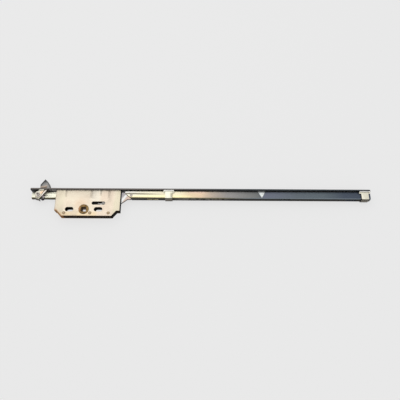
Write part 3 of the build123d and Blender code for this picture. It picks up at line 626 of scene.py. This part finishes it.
def strip_finish():
    """The faceplate: brushed front, a back in painted shade, and grey edges that darken towards the far end as
    painted reflection.
    """
    colours = bpy.context.scene.bolt_colours
    made = Finish("strip_steel")
    lines = made.grain(0.25 * MM, "x", 120.0)
    cloud = made.noise(16 * MM, 3.0, 0.6, made.stretched(0.3, 1.0, 1.0))
    pits = made.noise(0.5 * MM, 2.0, 0.7)
    # Painted reflection: the edges darken towards the far end.
    far = made.x.rise(60 * MM, 270 * MM)
    edge_tone = made.mix(far, colours.strip_edge, colours.strip_far)
    # Painted shade on the back.
    back = (-made.front).rise(0.3, 0.8)
    front = made.front.rise(0.3, 0.8)
    tone = made.mix(back, edge_tone, colours.strip_back_shade)
    tone = made.mix(front, tone, colours.strip_front)
    shading = 0.86 + 0.14 * lines + 0.16 * (cloud - 0.4) - 0.15 * pits.rise(0.67, 0.75)
    tone = made.shade(tone, shading)
    wear = made.worn_edge(0.25 * MM)
    colour = made.mix(wear * 0.2, tone, colours.strip_worn)
    rough = 0.36 + 0.16 * cloud + 0.14 * lines
    return made.metal(colour, rough, lines + 0.5 * pits, metallic=0.8)


def bright_surface(made, colour, wall_colour, cloud):
    """Bright zinc over that colour: rolled lines, spangle, cut edges in their own colour and worn corners."""
    colours = bpy.context.scene.bolt_colours
    lines = made.grain(0.4 * MM, "x", 20.0)
    spangle = made.node("TexVoronoi", None, {"Vector": made.place, "Scale": 1 / (1.8 * MM)}, output="Distance")
    pits = made.noise(0.4 * MM, 2.0, 0.7)
    shading = 0.9 + 0.07 * lines + 0.12 * (cloud - 0.4) + 0.04 * spangle - 0.12 * pits.rise(0.66, 0.74)
    wall = 1 - abs(made.up).rise(0.25, 0.8)
    colour = made.mix(wall, made.shade(colour, shading), wall_colour)
    edge = made.worn_edge(0.18 * MM)
    colour = made.mix(edge * 0.25 * (1 - wall), colour, colours.bright_worn)
    rough = 0.26 + 0.2 * cloud + 0.08 * lines + 0.12 * wall
    return made.metal(colour, rough, lines + 0.6 * pits, metallic=0.85 - 0.25 * wall)


def slider_finish():
    """The slider's bright lug with a painted highlight, and its rack inside the case in painted shade."""
    colours = bpy.context.scene.bolt_colours
    made = Finish("slider_zinc")
    cloud = made.noise(6 * MM, 3.0, 0.6)
    sway = (cloud - 0.5) * 2 * MM
    streak = made.beside(*LUG_HIGHLIGHT) + sway
    # Painted shade in pinkish brown under the rod's slanted end.
    colour = made.mix(streak.rise(0.6 * MM, 1.8 * MM), colours.slider, colours.slider_pink_shade)
    shade_side = (1 - streak.rise(-3.4 * MM, -1.6 * MM)) * (made.y + sway).rise(17 * MM, 23 * MM)
    # Painted shadow on the slider beside the case's edge.
    case_shadow = (made.x + 0.2 * sway).within(52.5 * MM, 54.9 * MM, 0.5 * MM)
    colour = made.mix(shade_side, colour, colours.slider_shade)
    # Painted highlight along the lug.
    colour = made.mix(streak.within(-1.9 * MM, 0.7 * MM, 0.5 * MM), colour, colours.slider_highlight)
    colour = made.mix(case_shadow, colour, colours.slider_case_shadow)
    # Painted shade on the slider inside the case, left off low beside the guide block where the slot shows it
    # pale.
    case_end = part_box("case_cover")[1].x
    inside_shade = 1 - (made.x + sway).rise(case_end - 5 * MM, case_end)
    low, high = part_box("guide_block")
    shade_lifted = (made.x + sway).within(low.x - 6 * MM, high.x + 4 * MM, 1 * MM)
    middle = (low.y + high.y) / 2
    shade_lifted = shade_lifted * (1 - (made.y + 0.5 * sway).rise(middle - 0.5 * MM, middle + 0.9 * MM))
    colour = made.mix(inside_shade * (1 - 0.85 * shade_lifted), colour, colours.grease_and_shade)
    return bright_surface(made, colour, colours.slider_wall_shade, cloud)


def splice_finish():
    """The splice plate, whose tab is the bright V in the rod's notch."""
    colours = bpy.context.scene.bolt_colours
    made = Finish("splice_zinc")
    cloud = made.noise(3 * MM, 3.0, 0.6)
    colour = made.mix(cloud.rise(0.4, 0.65), colours.splice, colours.splice_dull)
    return bright_surface(made, colour, colours.splice_wall_shade, cloud)


def saddle_finish():
    """Near-white plating with painted shadow beside the strap and painted light on the ears, over flanks in
    painted shade with a painted highlight line.
    """
    colours = bpy.context.scene.bolt_colours
    made = Finish("saddle_zinc")
    cloud = made.noise(4 * MM, 3.0, 0.6)
    shadow_noise = made.noise(2.5 * MM, 2.0, 0.5)
    colour = made.mix(cloud.rise(0.35, 0.7), colours.saddle, colours.saddle_dull)
    low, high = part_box("near_rod_clip")
    middle = (low.x + high.x) / 2
    # Painted shadow beside the strap, broken up by noise.
    right_side = made.x.within(middle + 2.6 * MM, middle + 5.2 * MM, 0.6 * MM)
    strap_shadow = right_side * made.y.within(19 * MM, 27 * MM, 1.5 * MM)
    colour = made.mix(strap_shadow * (0.35 + 0.6 * shadow_noise), colour, colours.olive_shade)
    # Painted light on the ears.
    ears = made.y.rise(high.y - 1.5 * MM, high.y - 1.1 * MM)
    colour = made.mix(ears * 0.8, colour, colours.saddle_ear_light)
    # Painted shade on the lower bend.
    fold = (1 - made.up.rise(0.72, 0.95)) * (-made.front).rise(0.1, 0.3)
    colour = made.mix(fold, colour, colours.saddle_fold_shade)
    # Painted highlight along the flank.
    flank_highlight = made.z.within(0.2 * MM, 2.6 * MM, 0.5 * MM)
    flank = made.mix(flank_highlight * (-made.front).rise(0.5, 0.8), colours.saddle_flank_shade, colours.saddle_flank_highlight)
    return bright_surface(made, colour, flank, cloud)


def cheek_finish():
    """Pale cheeks beside the hook, amber over its shank and lilac under its pin."""
    colours = bpy.context.scene.bolt_colours
    made = Finish("cheek_zinc")
    cloud = made.noise(5 * MM, 3.0, 0.6)
    sway = (cloud - 0.5) * 2 * MM
    colour = made.mix(cloud.rise(0.35, 0.7), colours.cheek, colours.cheek_dull)
    across = -made.beside(*SHANK_EDGE) + 0.4 * sway
    amber = across.within(1.0 * MM, 5.0 * MM, 1.0 * MM) * (made.y + sway).within(24 * MM, 29 * MM, 1.2 * MM)
    colour = made.mix(amber * 0.8, colour, colours.cheek_amber)
    lilac = (1 - (made.y + sway).rise(20.5 * MM, 22.5 * MM)) * made.x.rise(-73 * MM, -71 * MM)
    colour = made.mix(lilac * 0.6, colour, colours.cheek_lilac)
    # Painted highlight along the shank's edge.
    shank_highlight_band = made.z.rise(0.0, 1 * MM) * (1 - across.rise(1.0 * MM, 1.8 * MM))
    colour = made.mix(shank_highlight_band, colour, colours.cheek_highlight)
    return bright_surface(made, colour, colours.cheek_wall, cloud)


def brass_finish(name, tarnish_from):
    """Cast brass, dull, with painted light on its left side and painted shade low down, and dark nearer than
    tarnish_from millimetres to the middle of the thickness.
    """
    colours = bpy.context.scene.bolt_colours
    made = Finish(name)
    skin = made.noise(1.6 * MM, 4.0, 0.65)
    cloud = made.noise(5 * MM, 3.0, 0.5)
    pits = made.noise(0.35 * MM, 2.0, 0.7)
    colour = made.mix(cloud.rise(0.35, 0.68), colours.brass, colours.brass_dark)
    # Painted light on the left side and painted shade low down.
    lit_side = 1 - (made.x + (skin - 0.5) * 3 * MM).rise(-7.5 * MM, -4 * MM)
    colour = made.mix(lit_side * 0.85, colour, colours.brass_lit)
    low_shade = 1 - made.y.rise(-7 * MM, -3.5 * MM)
    colour = made.shade(colour, 0.8 + 0.3 * skin - 0.2 * pits.rise(0.64, 0.74) - 0.26 * low_shade)
    wall = 1 - abs(made.up).rise(0.3, 0.8)
    deep = (tarnish_from * MM - abs(made.z)).rise(0.0, 0.4 * MM)
    colour = made.mix((wall * 0.8).most(deep * 0.9), colour, colours.brass_deep)
    edge = made.worn_edge(0.25 * MM)
    colour = made.mix(edge * 0.3 * (1 - deep), colour, colours.brass_worn)
    rough = 0.36 + 0.2 * skin + 0.1 * wall
    return made.metal(colour, rough, skin + 0.6 * pits, metallic=0.85, depth=0.12 * MM)


def hook_finish():
    """Satin steel with a painted dark reflection along the nose, painted shade at the heel and the right edge,
    and a painted highlight along its shank's edge.
    """
    colours = bpy.context.scene.bolt_colours
    made = Finish("hook_steel")
    cloud = made.noise(4 * MM, 3.0, 0.6)
    lines = made.grain(0.35 * MM, "y", 14.0)
    pits = made.noise(0.4 * MM, 2.0, 0.7)
    sway = (cloud - 0.5) * 2 * MM
    upper = made.y.rise(32 * MM, 34 * MM)
    # Painted dark reflection along the nose.
    nose = 1 - (made.beside(*HOOK_NOSE) + sway).rise(1.0 * MM, 3.4 * MM)
    nose = nose.most((made.y + 2 * sway).rise(41 * MM, 46 * MM) * 0.95)
    # Painted shade along the right edge.
    shadowed = 1 - (-made.beside(*HOOK_RIGHT) + 0.5 * sway).rise(0.5 * MM, 1.7 * MM)
    colour = made.mix(cloud.rise(0.3, 0.7), colours.hook_light, colours.hook_dull)
    # Painted dark reflection towards the point.
    colour = made.mix((made.y + sway).rise(37 * MM, 44 * MM) * 0.5, colour, colours.hook_grey)
    colour = made.mix((nose * upper).least(0.97), colour, colours.hook_nose_reflection)
    colour = made.mix(shadowed * upper * 0.85, colour, colours.hook_right_shade)
    # Painted shade at the heel.
    heel = made.beside(*HOOK_HEEL) + 0.6 * sway
    left = 1 - (made.x + sway).rise(-60.5 * MM, -58 * MM)
    colour = made.mix(heel.within(-0.2 * MM, 1.4 * MM, 0.3 * MM) * left * upper, colour, colours.hook_heel_shade_edge)
    colour = made.mix(heel.rise(1.2 * MM, 2.0 * MM) * left * upper, colour, colours.hook_heel_shade)
    along = -made.beside(*SHANK_EDGE)
    shank = colours.shank
    straight = made.y.rise(19 * MM, 21 * MM)
    shank = made.mix(along.within(1.9 * MM, 4.6 * MM, 0.5 * MM) * straight * 0.8, shank, colours.shank_amber)
    # Painted highlight along the shank's edge.
    shank = made.mix((1 - along.rise(1.6 * MM, 2.3 * MM)) * straight, shank, colours.shank_highlight)
    shank = made.mix(1 - straight, shank, colours.shank_low)
    tine = 1 - made.z.rise(3.2 * MM, 3.5 * MM)
    shank = made.mix(tine, shank, colours.tine)
    lower = 1 - (made.y + 0.4 * made.x).rise(-12.4 * MM, -9.8 * MM)
    shank = made.mix(lower, shank, colours.tail)
    colour = made.mix(1 - upper, colour, shank)
    colour = made.shade(colour, 0.9 + 0.12 * lines - 0.14 * pits.rise(0.66, 0.74))
    wall = 1 - abs(made.up).rise(0.3, 0.7)
    # Painted shade on the cut edges.
    colour = made.mix(wall * 0.92, colour, colours.hook_wall_shade)
    edge = made.worn_edge(0.25 * MM)
    colour = made.mix(edge * 0.25, colour, colours.hook_worn)
    rough = 0.3 + 0.2 * cloud + 0.08 * lines
    return made.metal(colour, rough, lines + 0.7 * pits, metallic=0.8)


def rivet_finish(name, tone, rim_tone, middles=(), core_tone=None, core=0.0):
    """Rivet heads with fine pits, darker on their steep sides.

    Round each of the middles, up to about core millimetres away, a head may have another tone.
    """
    made = Finish(name)
    skin = made.noise(1.2 * MM, 3.0, 0.6)
    pits = made.noise(0.3 * MM, 2.0, 0.7)
    colour = tone
    for x, y in middles:
        across = made.distance((x, y, 0.0), made.stretched(z=0.0))
        colour = made.mix(across.rise(0.6 * core * MM, 1.2 * core * MM), core_tone, colour)
    colour = made.shade(colour, 0.84 + 0.26 * skin - 0.2 * pits.rise(0.64, 0.74))
    wall = 1 - abs(made.up).rise(0.25, 0.8)
    colour = made.mix(wall * 0.8, colour, rim_tone)
    rough = 0.3 + 0.25 * skin
    return made.metal(colour, rough, skin + 0.5 * pits, metallic=0.8, depth=0.06 * MM)


def nylon_finish():
    """Natural nylon with moulding flow and a little grease."""
    colours = bpy.context.scene.bolt_colours
    made = Finish("runner_nylon")
    flow = made.noise(7 * MM, 3.0, 0.55, made.stretched(0.4, 1.0, 1.0))
    skin = made.noise(0.4 * MM, 3.0, 0.6)
    colour = made.mix(flow.rise(0.5, 0.75) * 0.75, colours.nylon, colours.grease_and_shade)
    colour = made.shade(colour, 0.92 + 0.1 * skin)
    return made.metal(colour, 0.45 + 0.15 * flow, skin, metallic=0.0)


def spring_finish():
    """Blued spring steel with heat bands along the leaf."""
    colours = bpy.context.scene.bolt_colours
    made = Finish("leaf_steel")
    band = made.noise(4 * MM, 2.0, 0.5, made.stretched(1.0, 0.5, 1.0))
    lines = made.grain(0.25 * MM, "y", 40.0)
    colour = made.mix(band.rise(0.4, 0.65), colours.spring, colours.spring_brown)
    colour = made.shade(colour, 0.88 + 0.16 * lines)
    return made.metal(colour, 0.28 + 0.15 * lines, lines, metallic=0.9)


def table_finish():
    """A plain pale table, which keeps the object's soft shadow under an even tone."""
    colours = bpy.context.scene.bolt_colours
    made = Finish("table_top")
    speck = made.noise(260 * MM, 2.0, 0.5)
    colour = made.shade(colours.table, 0.995 + 0.01 * speck)
    lit = made.node("BsdfDiffuse", None, {"Color": colour})
    even = made.node("Emission", None, {"Color": colours.table, "Strength": TABLE_TONE})
    glow = made.background_rays() * bpy.context.scene.bolt_studio.table_glow
    surface = made.node("MixShader", None, {0: glow, 1: lit, 2: even})
    made.node("OutputMaterial", None, {"Surface": surface})
    return made.material


def clear_selection():
    """Leaves nothing selected."""
    bpy.ops.object.select_all(action="DESELECT")


def take(piece):
    """Makes the piece the only one selected, and active."""
    clear_selection()
    piece.select_set(True)
    bpy.context.view_layer.objects.active = piece


def merged_copy(node, name):
    """A piece from a CAD node, with its loose triangles merged into whole faces."""
    source = frame["nodes"][node]
    take(source)
    bpy.ops.object.duplicate()
    piece = bpy.context.view_layer.objects.active
    piece.name = name
    piece.data.name = name
    piece.parent = None
    piece.matrix_world = Matrix.Identity(4)
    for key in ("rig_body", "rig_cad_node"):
        if key in piece:
            del piece[key]
    bpy.ops.object.mode_set(mode="EDIT")
    bpy.ops.mesh.select_all(action="SELECT")
    bpy.ops.mesh.remove_doubles(threshold=MERGE)
    bpy.ops.mesh.dissolve_limited(angle_limit=FLAT)
    bpy.ops.object.mode_set(mode="OBJECT")
    return piece


def round_edges(piece, width):
    """Rounds the piece's sharp edges and shades the rest smooth."""
    take(piece)
    modifier = piece.modifiers.new("rounding", "BEVEL")
    modifier.width = width
    modifier.segments = bpy.context.scene.bolt_sizes.segments
    modifier.limit_method = "ANGLE"
    modifier.angle_limit = SHARP
    modifier.use_clamp_overlap = True
    bpy.ops.object.modifier_apply(modifier="rounding")
    bpy.ops.object.shade_smooth_by_angle(angle=SMOOTH)


def finish_piece(piece, body, node, material):
    """Gives the piece its material, lets it ride on its body and stand for its CAD node."""
    piece.data.materials.clear()
    piece.data.materials.append(material)
    for polygon in piece.data.polygons:
        polygon.material_index = 0
    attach(piece, body)
    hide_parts(node)


def dress(node, name, body, edge, material):
    """Puts a rounded and finished copy in a CAD node's place."""
    piece = merged_copy(node, name)
    round_edges(piece, edge)
    finish_piece(piece, body, node, material)


def turned(name, x, y, profile):
    """A turned piece about an upright axis, drawn out ring by ring from pairs of a radius and a height."""
    sides = bpy.context.scene.bolt_sizes.lathe_sides
    radius, height = profile[0]
    clear_selection()
    bpy.ops.mesh.primitive_circle_add(vertices=sides, radius=radius, fill_type="NGON", location=(x, y, height))
    piece = bpy.context.view_layer.objects.active
    piece.name = name
    piece.data.name = name
    bpy.ops.object.mode_set(mode="EDIT")
    bpy.ops.mesh.select_mode(type="FACE")
    bpy.ops.mesh.select_all(action="SELECT")
    for next_radius, next_height in profile[1:]:
        bpy.ops.mesh.extrude_region_move(TRANSFORM_OT_translate={"value": (0, 0, next_height - height)})
        ratio = next_radius / radius
        bpy.ops.transform.resize(value=(ratio, ratio, 1), center_override=(x, y, next_height))
        radius, height = next_radius, next_height
    bpy.ops.mesh.select_all(action="SELECT")
    bpy.ops.mesh.normals_make_consistent(inside=False)
    bpy.ops.object.mode_set(mode="OBJECT")
    bpy.ops.object.transform_apply(location=True, rotation=True, scale=True)
    bpy.ops.object.shade_smooth_by_angle(angle=SMOOTH)
    return piece


def joined(pieces, name):
    """One piece from several."""
    clear_selection()
    for piece in pieces:
        piece.select_set(True)
    bpy.context.view_layer.objects.active = pieces[0]
    bpy.ops.object.join()
    piece = bpy.context.view_layer.objects.active
    piece.name = name
    piece.data.name = name
    return piece


def dome(head, rise, sign, face, dimple):
    """Half the section of a domed, dimpled head on a face, from its rim to its middle."""
    return [
        (head, face),
        (head * 0.97, face + sign * rise * 0.45),
        (head * 0.84, face + sign * rise * 0.82),
        (head * 0.62, face + sign * rise),
        (head * 0.4, face + sign * rise),
        (head * 0.24, face + sign * (rise - dimple)),
        (head * 0.08, face + sign * (rise - 1.15 * dimple)),
    ]


def rivet_profile(head, rise, low, high):
    """Half the section of a rivet with a head at each end, from the faces that its heads lie on."""
    sizes = bpy.context.scene.bolt_sizes
    lower = dome(head, rise, -1, low, sizes.dimple)
    upper = dome(head, rise, 1, high, sizes.dimple)
    return lower[::-1] + [(sizes.rivet_shank, low), (sizes.rivet_shank, high)] + upper


def rivets(name, places, profile):
    """Rivets of one kind as one piece: the first is turned and the others are copies of it."""
    first_x, first_y = places[0]
    first = turned(name, first_x, first_y, profile)
    pieces = [first]
    for x, y in places[1:]:
        take(first)
        bpy.ops.object.duplicate()
        bpy.ops.transform.translate(value=(x - first_x, y - first_y, 0))
        bpy.ops.object.transform_apply(location=True, rotation=True, scale=True)
        pieces.append(bpy.context.view_layer.objects.active)
    return joined(pieces, name)


def middle_of(box):
    """The place of a box's middle in the plane of the case."""
    low, high = box
    return ((low.x + high.x) / 2, (low.y + high.y) / 2)


def islands(node):
    """The box of each separate solid of a CAD node, from left to right."""
    mesh = frame["nodes"][node].data
    owner = list(range(len(mesh.vertices)))

    def root(index):
        while owner[index] != index:
            owner[index] = owner[owner[index]]
            index = owner[index]
        return index

    first = {}
    for vertex in mesh.vertices:
        key = tuple(round(value, 6) for value in vertex.co)
        owner[root(vertex.index)] = root(first.setdefault(key, vertex.index))
    for edge in mesh.edges:
        owner[root(edge.vertices[0])] = root(edge.vertices[1])
    boxes = {}
    for vertex in mesh.vertices:
        box = boxes.setdefault(root(vertex.index), [vertex.co.copy(), vertex.co.copy()])
        box[0] = Vector(map(min, box[0], vertex.co))
        box[1] = Vector(map(max, box[1], vertex.co))
    return sorted(boxes.values(), key=lambda box: (box[0].x, box[0].z))


class BOLT_OT_faceplate(bpy.types.Operator):
    """Dresses the faceplate"""
    bl_idname = "bolt.faceplate"
    bl_label = "Faceplate"

    def execute(self, context):
        sizes = context.scene.bolt_sizes
        dress("faceplate", "faceplate_strip", "lock_case", sizes.sheet_edge, strip_finish())
        return {"FINISHED"}


class BOLT_OT_case(bpy.types.Operator):
    """Dresses the case's cover and base"""
    bl_idname = "bolt.case"
    bl_label = "Case"

    def execute(self, context):
        sizes = context.scene.bolt_sizes
        cover = case_finish("cover_plating", GROOVES)
        base = case_finish("base_plating", (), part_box("case_spacers")[0].z)
        dress("case_cover", "cover_sheet", "lock_case", sizes.sheet_edge, cover)
        dress("case_base", "base_tray", "lock_case", sizes.sheet_edge, base)
        return {"FINISHED"}


class BOLT_OT_case_rivets(bpy.types.Operator):
    """Makes the case's rivets and dresses its spacer tubes"""
    bl_idname = "bolt.case_rivets"
    bl_label = "Case rivets"

    def execute(self, context):
        sizes = context.scene.bolt_sizes
        colours = context.scene.bolt_colours
        low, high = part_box("case_rivets")
        rise = high.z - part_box("case_cover")[1].z
        head = (high.y - low.y) / 2
        places = [middle_of(box) for box in islands("case_rivets")]
        heads = rivets("case_rivet_heads", places, rivet_profile(head, rise, low.z + rise, high.z - rise))
        zinc = rivet_finish("rivet_zinc", colours.rivet, colours.rivet_rim, places, colours.rivet_core,
                            core=1.1)
        finish_piece(heads, "lock_case", "case_rivets", zinc)
        tubes = rivet_finish("tube_zinc", colours.rivet, colours.tube_rim)
        dress("case_spacers", "spacer_tubes", "lock_case", sizes.small_edge, tubes)
        return {"FINISHED"}


class BOLT_OT_follower(bpy.types.Operator):
    """Dresses the brass follower"""
    bl_idname = "bolt.follower"
    bl_label = "Follower"

    def execute(self, context):
        sizes = context.scene.bolt_sizes
        brass = brass_finish("cast_brass", tarnish_from=6.0)
        dress("follower", "brass_follower", "spindle_follower", sizes.small_edge, brass)
        return {"FINISHED"}


class BOLT_OT_spring(bpy.types.Operator):
    """Dresses the leaf spring, its posts and the runner"""
    bl_idname = "bolt.spring"
    bl_label = "Spring and runner"

    def execute(self, context):
        sizes = context.scene.bolt_sizes
        colours = context.scene.bolt_colours
        posts = rivet_finish("post_zinc", colours.rivet, colours.post_rim)
        dress("follower_spring", "leaf_spring", "lock_case", sizes.small_edge, spring_finish())
        dress("spring_posts", "leaf_posts", "lock_case", sizes.small_edge, posts)
        dress("slider_runner", "nylon_runner", "lock_case", sizes.sheet_edge, nylon_finish())
        return {"FINISHED"}


class BOLT_OT_slider(bpy.types.Operator):
    """Dresses the toothed slider and its guide block"""
    bl_idname = "bolt.slider"
    bl_label = "Slider"

    def execute(self, context):
        sizes = context.scene.bolt_sizes
        colours = context.scene.bolt_colours
        guide = rivet_finish("guide_steel", colours.guide, colours.guide_rim)
        dress("rack_slider", "slider_plate", "rods", sizes.small_edge, slider_finish())
        dress("guide_block", "guide_slipper", "rods", sizes.sheet_edge, guide)
        return {"FINISHED"}


class BOLT_OT_rods(bpy.types.Operator):
    """Dresses the two rods and makes the rivets that join them"""
    bl_idname = "bolt.rods"
    bl_label = "Rods"

    def execute(self, context):
        sizes = context.scene.bolt_sizes
        colours = context.scene.bolt_colours
        dress("main_rod", "channel_rod", "rods", sizes.rod_edge, main_rod_finish())
        dress("hook_rod", "short_rod", "rods", sizes.rod_edge, hook_rod_finish())
        dress("rod_splice", "splice_plate", "rods", sizes.small_edge, splice_finish())
        boxes = islands("rod_rivets")
        kinds = (("lap_rivet_heads", boxes[:-1], sizes.lap_head_rise),
                 ("rod_rivet_head", boxes[-1:], sizes.rod_head_rise))
        pieces = []
        for name, alike, rise in kinds:
            low, high = alike[0]
            profile = rivet_profile((high.y - low.y) / 2, rise, low.z + rise, high.z - rise)
            pieces.append(rivets(name, [middle_of(box) for box in alike], profile))
        heads = joined(pieces, "rod_rivet_heads")
        zinc = rivet_finish("rod_rivet_zinc", colours.rod_rivet, colours.rod_rivet_rim)
        finish_piece(heads, "rods", "rod_rivets", zinc)
        return {"FINISHED"}


class BOLT_OT_hook(bpy.types.Operator):
    """Dresses the hook, its bush and its drive pin, and makes its pivot"""
    bl_idname = "bolt.hook"
    bl_label = "Hook"

    def execute(self, context):
        sizes = context.scene.bolt_sizes
        colours = context.scene.bolt_colours
        bush = brass_finish("bush_brass", tarnish_from=1.0)
        dress("hook", "hook_blade", "swing_hook", sizes.hook_edge, hook_finish())
        dress("hook_bush", "pivot_bush", "swing_hook", sizes.small_edge, bush)
        x, y = middle_of(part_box("hook_pivot_pin"))
        pin = turned("pivot_rivet", x, y, self.pivot_profile(sizes))
        zinc = rivet_finish("pivot_zinc", colours.pivot, colours.pivot_rim, [(x, y)], colours.pivot_core,
                            core=1.5)
        finish_piece(pin, "lock_case", "hook_pivot_pin", zinc)
        drive = rivet_finish("drive_steel", colours.drive, colours.drive_rim)
        dress("hook_drive_pin", "drive_pin", "rods", sizes.small_edge, drive)
        return {"FINISHED"}

    def pivot_profile(self, sizes):
        """Half the section of the pivot: a flat far head, a step behind the hook and a domed near head."""
        low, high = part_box("hook_pivot_pin")
        rise = high.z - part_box("near_hook_cheek")[1].z
        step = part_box("hook")[0].z
        face = high.z - rise
        far_head = sizes.pivot_far_head
        return [
            (far_head * 0.7, low.z),
            (far_head, low.z + 0.6 * rise),
            (far_head, low.z + rise),
            (sizes.pivot_thin, low.z + rise),
            (sizes.pivot_thin, step),
            (sizes.pivot_thick, step),
            (sizes.pivot_thick, face),
        ] + dome((high.y - low.y) / 2, rise, 1, face, sizes.dimple)


class BOLT_OT_cheeks(bpy.types.Operator):
    """Dresses the cheeks beside the hook, and the small rivets of cheeks and saddles"""
    bl_idname = "bolt.cheeks"
    bl_label = "Cheeks"

    def execute(self, context):
        sizes = context.scene.bolt_sizes
        colours = context.scene.bolt_colours
        plating = cheek_finish()
        for node, name in (("near_hook_cheek", "near_cheek"), ("far_hook_cheek", "far_cheek")):
            dress(node, name, "lock_case", sizes.sheet_edge, plating)
        small = rivet_finish("ear_rivet_zinc", colours.ear_rivet, colours.ear_rivet_rim)
        for node, name in (("cheek_rivets", "cheek_rivet_set"), ("clip_rivets", "saddle_rivet_set")):
            dress(node, name, "lock_case", sizes.small_edge, small)
        return {"FINISHED"}


class BOLT_OT_saddles(bpy.types.Operator):
    """Dresses the saddles that hold the rod"""
    bl_idname = "bolt.saddles"
    bl_label = "Saddles"

    def execute(self, context):
        sizes = context.scene.bolt_sizes
        plating = saddle_finish()
        for node, name in (("near_rod_clip", "near_saddle"), ("end_rod_clip", "end_saddle")):
            dress(node, name, "lock_case", sizes.sheet_edge, plating)
        return {"FINISHED"}


class BOLT_OT_stage(bpy.types.Operator):
    """Lays the table, hangs the lamps and sets the camera"""
    bl_idname = "bolt.stage"
    bl_label = "Stage"

    def execute(self, context):
        studio = context.scene.bolt_studio
        middle = (CAD_BOX[0] + CAD_BOX[1]) / 2
        self.lay_table(middle)
        self.hang_lamp("main_lamp", middle, MAIN_LAMP_PLACE, MAIN_LAMP_SIZE, studio.lamp_power)
        side_power = studio.lamp_power * studio.side_lamp_share
        self.hang_lamp("side_lamp", middle, SIDE_LAMP_PLACE, SIDE_LAMP_SIZE, side_power)
        self.light_room(context, studio.daylight)
        self.set_camera(context, studio)
        return {"FINISHED"}

    def lay_table(self, middle):
        """A wide table just under the object."""
        clear_selection()
        bpy.ops.mesh.primitive_grid_add(x_subdivisions=8, y_subdivisions=8, size=TABLE_SIZE,
                                        location=(middle.x, middle.y, CAD_BOX[0].z - TABLE_DROP))
        table = bpy.context.view_layer.objects.active
        table.name = "table_top"
        bpy.ops.object.transform_apply(location=True, rotation=True, scale=True)
        table.data.materials.append(table_finish())

    def hang_lamp(self, name, middle, away, size, power):
        """A square lamp that hangs away from the object's middle and shines on it."""
        clear_selection()
        bpy.ops.object.light_add(type="AREA", location=middle + away)
        lamp = bpy.context.view_layer.objects.active
        lamp.name = name
        lamp.data.shape = "SQUARE"
        lamp.data.size = size
        lamp.data.energy = power
        lamp.rotation_euler = (-away).to_track_quat("-Z", "Y").to_euler()

    def light_room(self, context, strength):
        """Even light from all round, behind which the background keeps the table's tone."""
        world = context.scene.world or bpy.data.worlds.new("room")
        context.scene.world = world
        world.use_nodes = True
        room = Nodes(world.node_tree)
        light = room.node("Background", None, {"Color": (1.0, 1.0, 1.0, 1.0), "Strength": strength})
        seen = room.node("Background", None, {"Color": context.scene.bolt_colours.table, "Strength": 1.0})
        surface = room.node("MixShader", None, {0: room.background_rays(), 1: light, 2: seen})
        room.node("OutputWorld", None, {"Surface": surface})

    def set_camera(self, context, studio):
        """A camera where the photograph's stood."""
        aim = Vector((studio.aim_x, studio.aim_y, studio.aim_z))
        forward = Vector((0, math.sin(studio.tilt), -math.cos(studio.tilt)))
        level = forward.cross(Vector((0, 1, 0))).normalized()
        above = level.cross(forward)
        right = level * math.cos(studio.roll) + above * math.sin(studio.roll)
        up = above * math.cos(studio.roll) - level * math.sin(studio.roll)
        clear_selection()
        bpy.ops.object.camera_add(location=aim - forward * studio.distance)
        camera = bpy.context.view_layer.objects.active
        camera.name = "camera"
        camera.data.lens = studio.lens
        camera.data.sensor_width = FILM_WIDTH
        camera.data.clip_start = NEAR
        camera.data.clip_end = FAR
        camera.rotation_euler = Matrix((right, up, -forward)).transposed().to_euler()
        context.scene.camera = camera
        context.scene.view_settings.view_transform = "Standard"


OPERATORS = (
    BOLT_OT_faceplate, BOLT_OT_case, BOLT_OT_case_rivets, BOLT_OT_follower, BOLT_OT_spring, BOLT_OT_slider,
    BOLT_OT_rods, BOLT_OT_hook, BOLT_OT_cheeks, BOLT_OT_saddles, BOLT_OT_stage,
)


class BOLT_PT_pieces(bpy.types.Panel):
    """Lists the pieces and the stage"""
    bl_idname = "BOLT_PT_pieces"
    bl_label = "Espagnolette bolt"
    bl_space_type = "VIEW_3D"
    bl_region_type = "UI"
    bl_category = "Bolt"

    def draw(self, context):
        for operator in OPERATORS:
            self.layout.operator(operator.bl_idname)
        for group in (context.scene.bolt_sizes, context.scene.bolt_studio, context.scene.bolt_colours):
            for key in group.bl_rna.properties.keys():
                if key not in ("rna_type", "name"):
                    self.layout.prop(group, key)


GROUPS = {"bolt_colours": BoltColours, "bolt_sizes": BoltSizes, "bolt_studio": BoltStudio}


def register():
    """Tells Blender of the properties, the operators and the panel."""
    for key, group in GROUPS.items():
        bpy.utils.register_class(group)
        setattr(bpy.types.Scene, key, bpy.props.PointerProperty(type=group))
    for operator in OPERATORS:
        bpy.utils.register_class(operator)
    bpy.utils.register_class(BOLT_PT_pieces)


def unregister():
    """Takes back what register added."""
    bpy.utils.unregister_class(BOLT_PT_pieces)
    for operator in reversed(OPERATORS):
        bpy.utils.unregister_class(operator)
    for key, group in reversed(GROUPS.items()):
        delattr(bpy.types.Scene, key)
        bpy.utils.unregister_class(group)


def main():
    """Makes every piece and the stage."""
    register()
    bpy.ops.bolt.faceplate()
    bpy.ops.bolt.case()
    bpy.ops.bolt.case_rivets()
    bpy.ops.bolt.follower()
    bpy.ops.bolt.spring()
    bpy.ops.bolt.slider()
    bpy.ops.bolt.rods()
    bpy.ops.bolt.hook()
    bpy.ops.bolt.cheeks()
    bpy.ops.bolt.saddles()
    bpy.ops.bolt.stage()


if __name__ == "__main__":
    main()
